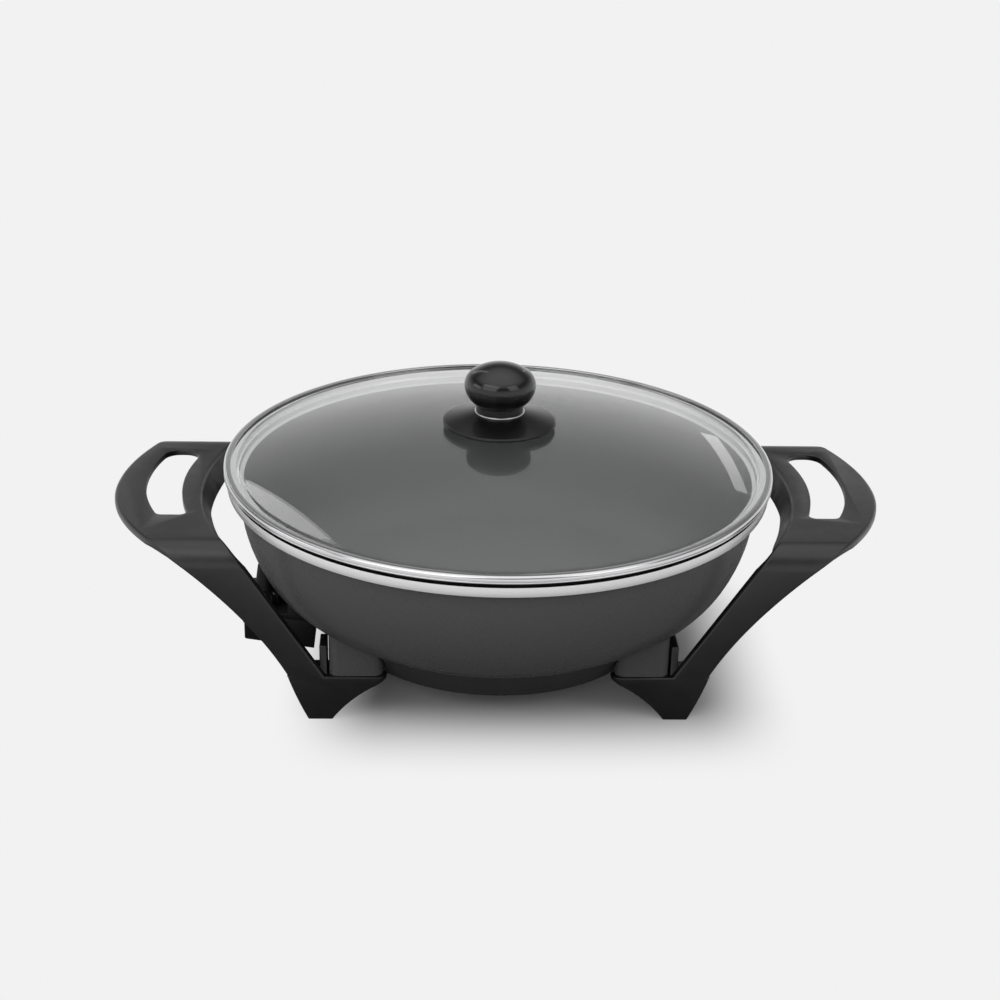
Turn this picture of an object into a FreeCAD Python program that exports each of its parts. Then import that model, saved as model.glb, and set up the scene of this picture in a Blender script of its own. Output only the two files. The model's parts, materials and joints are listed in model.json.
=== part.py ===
import FreeCAD, Part
import math
import os
import Sketcher

# An electric wok: a cast bowl on two handle legs, a loose glass lid, and a heat control that plugs
# into the left side. Millimetres. The origin is on the table under the middle of the bowl, +Z is up,
# +X runs through the handles and the cook stands at -Y.

V = FreeCAD.Vector
doc = FreeCAD.newDocument("ElectricWok")

# ---------------------------------------------------------------- driving sizes

SIZES = {
    # bowl
    "rim_height": 130, "band_radius": 168, "band_depth": 6, "rim_width": 8, "seat_step": 3.5,
    "band_overhang": 7.5, "shoulder_inset": 11, "shoulder_height": 75.5, "shoulder_angle": 28,
    "wall_arc": 95, "belly_arc": 62, "base_inset": 52, "base_height": 46.5, "base_edge": 2,
    "bowl_wall": 3.2, "floor_inset": 9.5, "floor_thickness": 6, "floor_recess": 3.5,
    # base cover under the bowl
    "cover_bottom": 22.5, "cover_inset": 2, "cover_foot_inset": 18, "cover_wall": 1.6,
    "cover_gap": 0.8, "rebate_inset": 6, "cover_screw_inset": 38, "cover_screw_count": 3,
    "cover_boss_radius": 5, "cover_screw_radius": 1.5, "cover_screw_head": 3.4,
    "cover_screw_head_depth": 1.8, "cover_screw_bite": 8,
    # lugs that the legs are screwed to
    "lug_inset": 13, "lug_width": 33, "lug_setback": 1, "lug_depth": 19, "lug_corner": 6,
    "lug_reach": 30, "leg_screw_setback": 13, "leg_screw_inset": 10, "leg_screw_radius": 2,
    "leg_screw_head": 4, "leg_screw_head_depth": 2.6, "leg_screw_bite": 9,
    "screw_gap": 0.05, "hole_gap": 0.3,
    # handle legs: the arch from foot to grip to foot
    "leg_inset": 28, "grip_drop": 15, "bend_radius": 14, "rear_bend_radius": 16,
    "skin": 4, "flange_wall": 3.2, "flange_depth": 4.7, "foot_depth": 22, "skirt_depth": 18,
    "skirt_step": 0.5, "skirt_tuck": 4.2, "skirt_front_tuck": 3, "skirt_tuck_run": 30,
    "edge_round": 2.4, "strap_lap": 3.8, "strap_inner_slope": 0.64,
    "strap_width": 23.8, "strap_outer_slope": 0.46, "strap_outer_round": 119,
    "strap_start": 20, "rear_fullness": 10, "grip_overhang": 70.4, "grip_middle": 4,
    "grip_front_round": 108, "grip_rear_round": 147, "plate_gap": 19, "plate_centre_x": -3,
    "plate_centre_y": 8, "hole_inner_gap": 29.3, "hole_inner_y": 10, "hole_inner_round": 150,
    "hole_outer_gap": 52.2, "hole_outer_y": 15, "hole_outer_round": 130, "hole_front_inset": 47.2,
    "hole_rear_inset": 27.5, "hole_front_corner": 4.5, "hole_rear_corner": 10,
    # feet and the ledge that carries the bowl
    "ledge_top": 29.3, "ledge_margin": 2, "ledge_end_depth": 3, "ledge_corner": 7,
    "ledge_round": 1.2, "foot_setback": 2, "foot_width": 14.5, "foot_instep": 14,
    "foot_instep_z": 14.8, "foot_shin": 4.5, "foot_shin_z": 9.5, "foot_wall": 3.5,
    "leg_cover_gap": 3.3, "driver_hole": 5, "cheek_gap": 1, "cheek_wall": 4.5,
    "cheek_setback": 4, "cheek_depth": 16, "cheek_top": 48.4,
    # heating element and its terminals
    "element_inset": 36, "element_radius": 3.6, "element_gap": 1.4, "element_elbow": 10,
    "element_overlap": 0.7, "pin_spread": 16, "pin_radius": 3, "pin_reach": 13,
    "insulator_radius": 3.9, "insulator_length": 7, "insulator_gap": 0.5,
    # sensor sleeve
    "sleeve_outer": 4.3, "sleeve_length": 22, "boss_half_width": 8, "boss_drop": 5.5,
    "rod_radius": 3, "rod_gap": 0.05, "rod_tip_gap": 5,
    # guard round the terminals
    "guard_half_width": 24, "guard_drop": 7.5, "guard_rise": 4.7, "guard_inset": 15.7,
    "guard_depth": 12.7, "guard_plate": 4, "guard_wall": 1.4, "guard_corner": 3,
    # heat control
    "control_gap": 2, "control_length": 45, "control_drop": 18.5, "deck_rise": 3.2,
    "nose_length": 16.5, "step_rise": 10.3, "nose_rise": 7.8, "control_front_half": 30,
    "control_back_half": 17.5, "control_wall": 2.4, "control_corner": 2.5, "pin_hole": 3.5,
    "control_screw_x": 9.5, "control_screw_y": 24.3, "control_screw_radius": 1.1,
    "control_screw_head": 2.1, "control_screw_head_depth": 1.4, "control_screw_bite": 6,
    "control_post_radius": 2.4,
    "dial_inset": 13, "dial_radius": 15, "dial_gap": 0.3, "dial_depth": 6.6, "dial_flutes": 24,
    "flute_radius": 0.9, "dial_grip_height": 15.9, "grip_foot_radius": 6.8,
    "grip_top_radius": 4.6, "grip_round": 1, "spindle_radius": 3, "spindle_depth": 11.7,
    "spindle_gap": 0.06, "lens_y": 10, "lens_drop": 8, "lens_radius": 2.6, "lens_rise": 1,
    "lamp_radius": 2.2, "lamp_length": 5, "block_inset": 4, "block_length": 10.5,
    "block_half": 21.5, "block_room": 1, "contact_wall": 1.1, "contact_gap": 0.05,
    "contact_inset": 3, "contact_length": 12, "frame_wall": 1.2, "frame_half": 7,
    "frame_tail": 3, "blade_thickness": 0.6, "blade_width": 7, "blade_lift": 2, "arm_lift": 2.4,
    "gland_inset": 12, "gland_drop": 8, "gland_radius": 4.6, "gland_bore": 3.1,
    "gland_length": 8, "gland_proud": 4.2,
    # lid
    "lid_overhang": 2, "lid_stand": 3, "lid_seat_margin": 2, "glass_thickness": 3,
    "lid_rim_wall": 0.7, "glass_edge_gap": 0.3, "dome_rise": 22.8, "rim_lip": 4.5,
    "rim_round": 0.8,
    # knob stack on the lid
    "stem_hole": 4, "stem_gap": 0.2, "gasket_radius": 12, "gasket_thickness": 1,
    "skirt_radius": 35, "skirt_edge": 1.4, "skirt_edge_rise": 0.9, "skirt_height": 7.1,
    "skirt_hub": 15, "skirt_wall": 2.2, "trim_radius": 15.4, "trim_thickness": 1,
    "neck_radius": 14.6, "neck_height": 4.4, "knob_radius": 22, "knob_waist_level": 12.5,
    "knob_under_arc": 14.2, "knob_shoulder_arc": 9,
    "knob_shoulder_x": 18.3, "knob_shoulder_rise": 7.3, "knob_rise": 13.2,
    "insert_radius": 4, "insert_length": 14, "knob_screw_radius": 2, "knob_screw_head": 4.2,
    "knob_screw_head_depth": 2.4, "washer_radius": 12, "washer_thickness": 1,
    "under_gasket_radius": 11, "under_gasket_thickness": 0.8,
}

sheet = doc.addObject("Spreadsheet::Sheet", "Sizes")
for row, (alias, number) in enumerate(SIZES.items(), start=1):
    sheet.set(f"A{row}", alias.replace("_", " "))
    sheet.set(f"B{row}", str(number))
    sheet.setAlias(f"B{row}", alias)
doc.recompute()


class Size(float):
    """A number that remembers the sheet expression it comes from."""

    def __new__(cls, number, text):
        size = float.__new__(cls, number)
        size.text = text
        return size

    def __add__(self, other):
        return Size(float(self) + float(other), f"({self.text} + {text_of(other)})")

    def __radd__(self, other):
        return Size(float(other) + float(self), f"({text_of(other)} + {self.text})")

    def __sub__(self, other):
        return Size(float(self) - float(other), f"({self.text} - {text_of(other)})")

    def __rsub__(self, other):
        return Size(float(other) - float(self), f"({text_of(other)} - {self.text})")

    def __mul__(self, other):
        return Size(float(self) * float(other), f"({self.text} * {text_of(other)})")

    def __rmul__(self, other):
        return Size(float(other) * float(self), f"({text_of(other)} * {self.text})")

    def __truediv__(self, other):
        return Size(float(self) / float(other), f"({self.text} / {text_of(other)})")

    def __neg__(self):
        return Size(-float(self), f"(-1 * {self.text})")


def text_of(number):
    """The sheet expression of a size, or a plain number as text."""
    return number.text if isinstance(number, Size) else repr(float(number))


def cosine(angle):
    return Size(math.cos(math.radians(angle)), f"cos({text_of(angle)} * 1 deg)")


def sine(angle):
    return Size(math.sin(math.radians(angle)), f"sin({text_of(angle)} * 1 deg)")


def cap_radius(half_width, rise):
    """Radius of the sphere whose cap has this half width and rise."""
    return (half_width * half_width + rise * rise) / (2 * rise)


class SheetValues:
    """Every cell of the sheet by its alias, as a Size."""

    def __getattr__(self, alias):
        return Size(sheet.get(alias), f"Sizes.{alias}")


s = SheetValues()

# ---------------------------------------------------------------- drawing helpers


def bind(item, name, number):
    """Set a property and tie it to the sheet."""
    if isinstance(number, Size):
        item.setExpression(name, number.text)
    else:
        setattr(item, name, number)


def new_body(label):
    body = doc.addObject("PartDesign::Body", label)
    body.Label = label
    return body


def arc_between(start, end, radius):
    """The minor arc from start to end; a positive radius turns left, a negative one right."""
    chord = end - start
    reach = math.sqrt(max(radius * radius - chord.Length ** 2 / 4, 0))
    left = V(-chord.y, chord.x, 0).normalize()
    centre = (start + end) * 0.5 + left * math.copysign(reach, radius)
    first, last = (start, end) if radius > 0 else (end, start)
    begin = math.atan2(first.y - centre.y, first.x - centre.x)
    finish = math.atan2(last.y - centre.y, last.x - centre.x)
    circle = Part.Circle(centre, V(0, 0, 1), abs(radius))
    return Part.ArcOfCircle(circle, begin, finish)


def pin_point(sketch, index, end, x, y):
    """Hold one end of a sketch element at a distance from the sketch's origin."""
    for kind, number in (("DistanceX", x), ("DistanceY", y)):
        place = sketch.addConstraint(Sketcher.Constraint(kind, -1, 1, index, end, float(number)))
        if isinstance(number, Size):
            sketch.setExpression(f"Constraints[{place}]", number.text)


def hold_radius(sketch, index, radius):
    place = sketch.addConstraint(Sketcher.Constraint("Radius", index, float(radius)))
    if isinstance(radius, Size):
        sketch.setExpression(f"Constraints[{place}]", radius.text)


def draw_loop(sketch, corners):
    """A closed outline. A corner is (x, y), or (x, y, radius) when an arc leads to the next one."""
    ends = []
    for number, corner in enumerate(corners):
        following = corners[(number + 1) % len(corners)]
        start = V(float(corner[0]), float(corner[1]), 0)
        end = V(float(following[0]), float(following[1]), 0)
        if len(corner) == 3:
            index = sketch.addGeometry(arc_between(start, end, float(corner[2])), False)
            ends.append((index, 1, 2) if corner[2] > 0 else (index, 2, 1))
        else:
            index = sketch.addGeometry(Part.LineSegment(start, end), False)
            ends.append((index, 1, 2))
    for number, corner in enumerate(corners):
        index, head, tail = ends[number]
        next_index, next_head, _ = ends[(number + 1) % len(corners)]
        pin_point(sketch, index, head, corner[0], corner[1])
        sketch.addConstraint(Sketcher.Constraint("Coincident", index, tail, next_index, next_head))
        if len(corner) == 3:
            hold_radius(sketch, index, corner[2] if corner[2] > 0 else -corner[2])


def draw_circle(sketch, x, y, radius):
    circle = Part.Circle(V(float(x), float(y), 0), V(0, 0, 1), float(radius))
    index = sketch.addGeometry(circle, False)
    pin_point(sketch, index, 3, x, y)
    hold_radius(sketch, index, radius)


def new_sketch(body, plane, loops=(), circles=(), level=None):
    """A sketch on one of the body's own planes, moved along that plane's normal by level."""
    sketch = body.newObject("Sketcher::SketchObject", body.Name + "Sketch")
    support = [item for item in body.Origin.OriginFeatures if item.Role == plane][0]
    sketch.AttachmentSupport = [(support, "")]
    sketch.MapMode = "FlatFace"
    if level is not None:
        sketch.AttachmentOffset = FreeCAD.Placement(V(0, 0, float(level)), FreeCAD.Rotation())
        if isinstance(level, Size):
            sketch.setExpression("AttachmentOffset.Base.z", level.text)
    for corners in loops:
        draw_loop(sketch, corners)
    for x, y, radius in circles:
        draw_circle(sketch, x, y, radius)
    return sketch


def last_solid(body):
    features = [item for item in body.Group if item.isDerivedFrom("PartDesign::Feature")]
    return features[-1] if features else None


def add_feature(body, kind, name, sketch):
    """A new feature on top of the body's last one, and the volume there was before it."""
    base = last_solid(body)
    body.Tip = base
    feature = body.newObject(kind, name)
    feature.Profile = sketch
    return feature, base.Shape.Volume if base else 0


def finish(body, feature, before, grows):
    """Recompute, and stop if the feature did not add or remove material as it should."""
    body.Tip = feature
    doc.recompute()
    change = feature.Shape.Volume - before
    if (change > 0) != grows or abs(change) < 1e-3:
        raise RuntimeError(f"{feature.Name} on {body.Label} changed the volume by {change:.3f}")
    return feature


def turned(body, corners, grows=True):
    """A solid, or a cut, of revolution about Z from an outline of (radius, height) corners."""
    sketch = new_sketch(body, "XZ_Plane", [corners])
    doc.recompute()
    kind = "PartDesign::Revolution" if grows else "PartDesign::Groove"
    feature, before = add_feature(body, kind, body.Name + "Turned", sketch)
    feature.ReferenceAxis = (sketch, ["V_Axis"])
    feature.Angle = 360
    return finish(body, feature, before, grows)


def raised(body, plane, length, loops=(), circles=(), level=None, back=False, grows=True):
    """A pad, or with grows=False a pocket. back turns it against the plane's normal."""
    sketch = new_sketch(body, plane, loops, circles, level)
    doc.recompute()
    kind = "PartDesign::Pad" if grows else "PartDesign::Pocket"
    feature, before = add_feature(body, kind, body.Name + kind[-3:], sketch)
    bind(feature, "Length", length)
    feature.Reversed = back if grows else not back
    return finish(body, feature, before, grows)


def cut(body, plane, length, **where):
    return raised(body, plane, length, grows=False, **where)


def box_loop(left, right, low, high):
    return [(left, low), (right, low), (right, high), (left, high)]


def round_loop(left, right, low, high, radius):
    """A rectangle with round corners."""
    return [(left + radius, low), (right - radius, low, radius), (right, low + radius),
            (right, high - radius, radius), (right - radius, high), (left + radius, high, radius),
            (left, high - radius), (left, low + radius, radius)]


def solid_node(label, shape):
    """A sub-part whose shape is made with Part's functions from the sheet's sizes."""
    feature = doc.addObject("Part::Feature", label)
    feature.Label = label
    feature.Shape = shape
    return feature


def rod(radius, start, end):
    """A cylinder from one point to another."""
    axis = end - start
    return Part.makeCylinder(float(radius), axis.Length, start, axis)


def pan_screw(radius, head, head_depth, seat, tip):
    """A screw whose head sits under seat and whose shank ends at tip."""
    axis = (tip - seat).normalize()
    return rod(head, seat - axis * float(head_depth), seat).fuse(rod(radius, seat, tip))


SIDES = (-1, 1)
CORNERS = [(side, end) for side in SIDES for end in SIDES]
OVERRUN = 1  # how far a cut runs past the material, so that it leaves no skin

# ---------------------------------------------------------------- bowl

band_bottom = s.rim_height - s.band_depth
base_radius = s.band_radius - s.base_inset
seat_radius = s.band_radius - s.rim_width
seat_level = s.rim_height - s.seat_step
mouth_radius = s.band_radius - s.band_overhang
shoulder_radius = mouth_radius - s.shoulder_inset
floor_radius = base_radius - s.floor_inset
cover_top = s.base_height - s.base_edge
cover_rim_radius = base_radius - s.cover_inset
cover_foot_radius = base_radius - s.cover_foot_inset
rebate_radius = cover_rim_radius - s.rebate_inset
cover_floor = s.cover_bottom + s.cover_wall
floor_under = cover_top - s.floor_recess
floor_level = floor_under + s.floor_thickness
element_level = floor_under - s.element_radius - s.element_gap
guard_start = base_radius - s.guard_inset
sleeve_end = guard_start - s.hole_gap
sleeve_start = sleeve_end - s.sleeve_length
boss_bottom = element_level - s.boss_drop
element_circle = base_radius - s.element_inset
leg_half_depth = base_radius - s.leg_inset
lug_outer = base_radius - s.lug_inset
lug_inner = lug_outer - s.lug_width
lug_front = leg_half_depth - s.lug_setback
lug_back = lug_front - s.lug_depth
leg_screw_x = lug_outer - s.leg_screw_setback
leg_screw_y = leg_half_depth - s.leg_screw_inset

bowl = new_body("bowl")
turned(bowl, [
    (0, floor_under), (rebate_radius, floor_under), (rebate_radius, cover_top),
    (base_radius, cover_top), (base_radius, s.base_height, s.belly_arc),
    (shoulder_radius, s.shoulder_height, s.wall_arc), (mouth_radius, band_bottom),
    (s.band_radius, band_bottom), (s.band_radius, s.rim_height), (0, s.rim_height)])


def sided(side, low, high):
    """Low and high ends of a span that is mirrored to the left when side is -1."""
    return (low, high) if side > 0 else (-high, -low)


lug_loops = []
for side, end in CORNERS:
    left, right = sided(side, lug_inner, lug_outer)
    near, far = sided(end, lug_back, lug_front)
    lug_loops.append(round_loop(left, right, near, far, s.lug_corner))
raised(bowl, "XY_Plane", s.lug_reach, loops=lug_loops, level=s.ledge_top)

cover_slope = (cover_rim_radius - cover_foot_radius) / (cover_top - s.cover_bottom)
ledge_low = s.ledge_top - OVERRUN
ledge_cover_radius = cover_foot_radius + cover_slope * (ledge_low - s.cover_bottom)
turned(bowl, [
    (0, ledge_low), (ledge_cover_radius + s.cover_gap, ledge_low),
    (cover_rim_radius + s.cover_gap, cover_top), (rebate_radius, cover_top),
    (rebate_radius, floor_under), (0, floor_under)], grows=False)

inner_shoulder_radius = shoulder_radius - s.bowl_wall * cosine(s.shoulder_angle)
inner_shoulder_height = s.shoulder_height + s.bowl_wall * sine(s.shoulder_angle)
turned(bowl, [
    (0, floor_level), (floor_radius, floor_level, s.belly_arc - s.bowl_wall),
    (inner_shoulder_radius, inner_shoulder_height, s.wall_arc - s.bowl_wall),
    (mouth_radius - s.bowl_wall, seat_level), (seat_radius, seat_level),
    (seat_radius, s.rim_height + OVERRUN), (0, s.rim_height + OVERRUN)], grows=False)

cover_screw_circle = cover_foot_radius - s.cover_screw_inset
cover_screw_angles = [30 + 360 / s.cover_screw_count * turn
                      for turn in range(int(s.cover_screw_count))]
cover_screw_places = [(cover_screw_circle * cosine(angle), cover_screw_circle * sine(angle))
                      for angle in cover_screw_angles]
raised(bowl, "XY_Plane", floor_under - cover_floor, level=cover_floor,
       circles=[(x, y, s.cover_boss_radius) for x, y in cover_screw_places])
raised(bowl, "XY_Plane", floor_under - boss_bottom, level=boss_bottom,
       loops=[box_loop(-sleeve_end, -sleeve_start, -s.boss_half_width, s.boss_half_width)])
cut(bowl, "YZ_Plane", s.sleeve_length + 2 * OVERRUN, level=-sleeve_end - OVERRUN,
    circles=[(0, element_level, s.sleeve_outer + s.screw_gap)])
cut(bowl, "XY_Plane", s.leg_screw_bite + OVERRUN, level=s.ledge_top,
    circles=[(side * leg_screw_x, end * leg_screw_y, s.leg_screw_radius + s.screw_gap)
             for side, end in CORNERS])
cut(bowl, "XY_Plane", s.cover_screw_bite + OVERRUN, level=cover_floor,
    circles=[(x, y, s.cover_screw_radius + s.screw_gap) for x, y in cover_screw_places])

# ---------------------------------------------------------------- base cover and its screws

base_cover = new_body("base_cover")
turned(base_cover, [
    (0, s.cover_bottom), (cover_foot_radius, s.cover_bottom), (cover_rim_radius, cover_top),
    (cover_rim_radius - s.cover_wall, cover_top),
    (cover_foot_radius - s.cover_wall, cover_floor), (0, cover_floor)])
guard_bottom = element_level - s.guard_drop
guard_top = element_level + s.guard_rise
cut(base_cover, "YZ_Plane", cover_rim_radius - sleeve_end + OVERRUN, level=-cover_rim_radius,
    loops=[box_loop(-s.guard_half_width - s.hole_gap, s.guard_half_width + s.hole_gap,
                    guard_bottom - s.hole_gap, guard_top + s.hole_gap)])
cut(base_cover, "XY_Plane", s.cover_wall + 2 * OVERRUN, level=s.cover_bottom - OVERRUN,
    circles=[(x, y, s.cover_screw_radius + s.hole_gap) for x, y in cover_screw_places])

solid_node("base_cover_screws", Part.makeCompound([
    pan_screw(s.cover_screw_radius, s.cover_screw_head, s.cover_screw_head_depth,
              V(x, y, s.cover_bottom), V(x, y, cover_floor + s.cover_screw_bite))
    for x, y in cover_screw_places]))

# ---------------------------------------------------------------- handle legs

grip_height = s.rim_height - s.grip_drop
grip_reach = s.band_radius + s.grip_overhang
plate_inner_radius = s.band_radius + s.plate_gap
hole_inner_x = s.band_radius + s.hole_inner_gap
hole_outer_x = s.band_radius + s.hole_outer_gap
hole_front = s.hole_front_inset - leg_half_depth
hole_rear = leg_half_depth - s.hole_rear_inset
strap_inner_low = lug_outer - s.strap_lap
strap_outer_low = strap_inner_low + s.strap_width
foot_inner = lug_outer - s.foot_setback
foot_outer = foot_inner + s.foot_width
foot_instep_x = foot_inner - s.foot_instep
foot_shin_x = foot_outer + s.foot_shin
ledge_end = lug_inner - s.ledge_margin
cheek_start = lug_outer + s.cheek_gap
cheek_front = leg_half_depth - s.cheek_setback
cheek_back = cheek_front - s.cheek_depth
leg_clear_radius = ledge_cover_radius + s.leg_cover_gap


def bend_at(end):
    return s.rear_bend_radius if end > 0 else s.bend_radius


def strap_outer(height, rear):
    """Outer edge of the strap at a height; the rear strap is a little fuller near the grip."""
    rise = height - s.strap_start
    full = s.rear_fullness * (rise / (grip_height - s.bend_radius - s.strap_start)) ** 2
    sweep = rise * rise / (2 * s.strap_outer_round)
    return strap_outer_low + s.strap_outer_slope * rise + sweep + full * rear


def strap_inner(height):
    return strap_inner_low + s.strap_inner_slope * (height - s.strap_start)


def grip_outer(y):
    """Outer edge of the grip in plan."""
    offset = y - s.grip_middle
    return grip_reach - offset * offset / 2 / (s.grip_rear_round if offset > 0
                                                 else s.grip_front_round)


def plate_inner(y):
    """Inner edge of the grip plate, an arc round the bowl."""
    across = y - s.plate_centre_y
    return math.sqrt(plate_inner_radius ** 2 - across ** 2) + s.plate_centre_x


def eased(start, end, start_slope, end_slope, length, share):
    """Cubic from start to end that keeps the slopes at both ends."""
    square, cube = share ** 2, share ** 3
    return ((2 * cube - 3 * square + 1) * start + (cube - 2 * square + share) * length * start_slope
            + (3 * square - 2 * cube) * end + (cube - square) * length * end_slope)


def leg_section(inner, outer, point, inward, flange, skirt=0, lean=0):
    """One cross-section of the arch: a skin with a flange on its outer and inner edge.

    The inner flange leans towards the bowl by lean at its lower end.
    """
    skin, wall, corner = float(s.skin), float(s.flange_wall), float(s.edge_round)
    skirt = max(skirt, skin + float(s.skirt_step))

    def at(x, depth):
        return V(x, point.y, point.z) + inward * depth

    def corner_arc(before, middle, after):
        return Part.Arc(before, middle, after).toShape()

    bite = corner * (1 - math.sqrt(0.5))
    marks = [at(inner + corner, 0), at(outer - corner, 0), at(outer, corner), at(outer, flange),
             at(outer - wall, flange), at(outer - wall, skin), at(inner + wall, skin),
             at(inner + wall - lean, skirt), at(inner - lean, skirt), at(inner, corner)]
    edges = [Part.makeLine(marks[0], marks[1]),
             corner_arc(marks[1], at(outer - bite, bite), marks[2])]
    edges += [Part.makeLine(marks[i], marks[i + 1]) for i in range(2, 9)]
    edges.append(corner_arc(marks[9], at(inner + bite, bite), marks[0]))
    return Part.Wire(edges)


def leg_strap(end):
    """Sections up the strap of the front (end -1) or the rear (end 1)."""
    rear = 1 if end > 0 else 0
    top = grip_height - bend_at(end)
    sections = []
    for share in (0, 0.12, 0.25, 0.4, 0.55, 0.7, 0.85, 1):
        height = s.strap_start + (top - s.strap_start) * share
        flange = s.flange_depth + (s.foot_depth - s.flange_depth) * (1 - share) ** 1.6
        sections.append(leg_section(strap_inner(height), strap_outer(height, rear),
                                    V(0, end * leg_half_depth, height), V(0, -end, 0),
                                    float(flange)))
    return sections


def leg_bend(end):
    """Sections round the bend from the strap's top to the grip plate."""
    rear = 1 if end > 0 else 0
    bend = bend_at(end)
    top = grip_height - bend
    flat_end = leg_half_depth - bend
    length = bend * math.pi / 2
    step = 0.5
    strap_slope = (strap_outer(top, rear) - strap_outer(top - step, rear)) / step
    plate_slope = (grip_outer(end * (flat_end - step)) - grip_outer(end * flat_end)) / step
    inner_slope = (plate_inner(end * (flat_end - step)) - plate_inner(end * flat_end)) / step
    sections = []
    for share in (0, 0.2, 0.4, 0.6, 0.8, 1):
        turn = math.pi / 2 * share
        outward = V(0, end * math.cos(turn), math.sin(turn))
        centre = V(0, end * flat_end, top)
        outer = eased(strap_outer(top, rear), grip_outer(end * flat_end), strap_slope, plate_slope,
                      length, share)
        inner = eased(strap_inner(top), plate_inner(end * flat_end), s.strap_inner_slope,
                      inner_slope, length, share)
        sections.append(leg_section(inner, outer, centre + outward * float(bend),
                                    outward * -1, float(s.flange_depth)))
    return sections


def leg_plate():
    """Sections along the flat of the grip, with the skirt deepening away from the bends."""
    front = s.bend_radius - leg_half_depth
    rear = leg_half_depth - s.rear_bend_radius
    sections = []
    for share in [number / 16 for number in range(17)]:
        y = front + (rear - front) * share
        swell = (1 - (2 * share - 1) ** 6) ** 0.7
        shallow = s.skin + s.skirt_step
        skirt = shallow + (s.skirt_depth - shallow) * swell
        towards_front = min(max(-y / s.skirt_tuck_run, 0), 1.5)
        lean = (s.skirt_tuck + s.skirt_front_tuck * towards_front) * swell
        sections.append(leg_section(plate_inner(y), grip_outer(y), V(0, y, grip_height),
                                    V(0, 0, -1), float(s.flange_depth), float(skirt),
                                    float(lean)))
    return sections


def upright(shape, chosen):
    """The shape's upright straight edges whose place (x, y) is chosen."""
    edges = []
    for edge in shape.Edges:
        box = edge.BoundBox
        if box.XLength < 0.01 and box.YLength < 0.01 and chosen(box.XMin, box.YMin):
            edges.append(edge)
    return edges


def finger_hole():
    """The hole in the grip as a solid: between two arcs, cut off at both ends, corners rounded."""
    depth = 6 * s.skin
    bottom = grip_height - 3 * s.skin
    outer = Part.makeCylinder(s.hole_outer_round, depth,
                              V(hole_outer_x - s.hole_outer_round, s.hole_outer_y, bottom))
    inner = Part.makeCylinder(s.hole_inner_round, depth,
                              V(hole_inner_x - s.hole_inner_round, s.hole_inner_y, bottom))
    span = Part.makeBox(s.grip_overhang, hole_rear - hole_front, depth,
                        V(s.band_radius, hole_front, bottom))
    prism = outer.cut(inner).common(span)
    prism = prism.makeFillet(s.hole_front_corner, upright(prism, lambda x, y: y < 0))
    return prism.makeFillet(s.hole_rear_corner, upright(prism, lambda x, y: y > 0))


def foot_outline():
    """Front view of the foot and the ledge above it, as a face at y = 0."""
    outer_top = strap_outer(s.ledge_top, 0)
    corners = [V(ledge_end, 0, s.ledge_top), V(ledge_end, 0, s.ledge_top - s.ledge_end_depth)]
    edges = [Part.makeLine(corners[0], corners[1])]
    sole_inner, sole_outer = V(foot_inner, 0, 0), V(foot_outer, 0, 0)
    edges.append(Part.Arc(corners[1], V(foot_instep_x, 0, s.foot_instep_z), sole_inner).toShape())
    edges.append(Part.makeLine(sole_inner, sole_outer))
    top_outer = V(outer_top, 0, s.ledge_top)
    edges.append(Part.Arc(sole_outer, V(foot_shin_x, 0, s.foot_shin_z), top_outer).toShape())
    edges.append(Part.makeLine(top_outer, corners[0]))
    return Part.Face(Part.Wire(edges))


def leg_foot(end):
    """Foot and ledge at one end: a box open at its back, under the bowl's lug."""
    outline = foot_outline()
    inside = outline.makeOffset2D(-float(s.foot_wall), join=2)
    front = end * leg_half_depth
    body = outline.extrude(V(0, -end * s.foot_depth, 0))
    body.translate(V(0, front, 0))
    near, far = sided(end, leg_half_depth - s.foot_depth, leg_half_depth)
    length = strap_outer(s.ledge_top, 0) - ledge_end + OVERRUN
    plan = Part.makeBox(length, far - near, s.ledge_top + 2 * OVERRUN, V(ledge_end, near, -OVERRUN))
    plan = plan.makeFillet(s.ledge_corner, upright(plan, lambda x, y: x < ledge_end + 1
                                                   and abs(y - front) < 1))
    body = body.common(plan)
    lip = [edge for edge in body.Edges
           if edge.BoundBox.ZMin > s.ledge_top - 0.01 and abs(edge.BoundBox.YMin - front) < 0.01
           and abs(edge.BoundBox.YMax - front) < 0.01]
    body = body.makeFillet(s.ledge_round, lip)
    hollow = inside.extrude(V(0, -end * s.foot_depth, 0))
    hollow.translate(V(0, front - end * s.skin, 0))
    body = body.cut(hollow)
    near, far = sided(end, cheek_back, cheek_front)
    cheek = Part.makeBox(s.cheek_wall, far - near, s.cheek_top - s.ledge_top + s.foot_wall,
                         V(cheek_start, near, s.ledge_top - s.foot_wall))
    screw = V(leg_screw_x, end * leg_screw_y, 0)
    shank = Part.makeCylinder(s.leg_screw_radius + s.hole_gap, s.ledge_top + OVERRUN, screw)
    driver = Part.makeCylinder(s.driver_hole, s.ledge_top - s.foot_wall, screw)
    clearance = Part.makeCylinder(leg_clear_radius, s.ledge_top + 2 * OVERRUN, V(0, 0, -OVERRUN))
    return body.fuse(cheek).cut(Part.makeCompound([shank, driver, clearance]))


def leg_shape():
    """The right handle leg, one moulding."""
    runs = [leg_strap(-1), leg_bend(-1), leg_plate(), leg_bend(1), leg_strap(1)]
    arch = [Part.makeLoft(run, True, False) for run in runs]
    shape = arch[0].fuse(arch[1:] + [leg_foot(-1), leg_foot(1)])
    return shape.cut(finger_hole())


right_leg_shape = leg_shape()
solid_node("handle_leg_right", right_leg_shape)
solid_node("handle_leg_left", right_leg_shape.mirror(V(0, 0, 0), V(1, 0, 0)))

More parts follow.
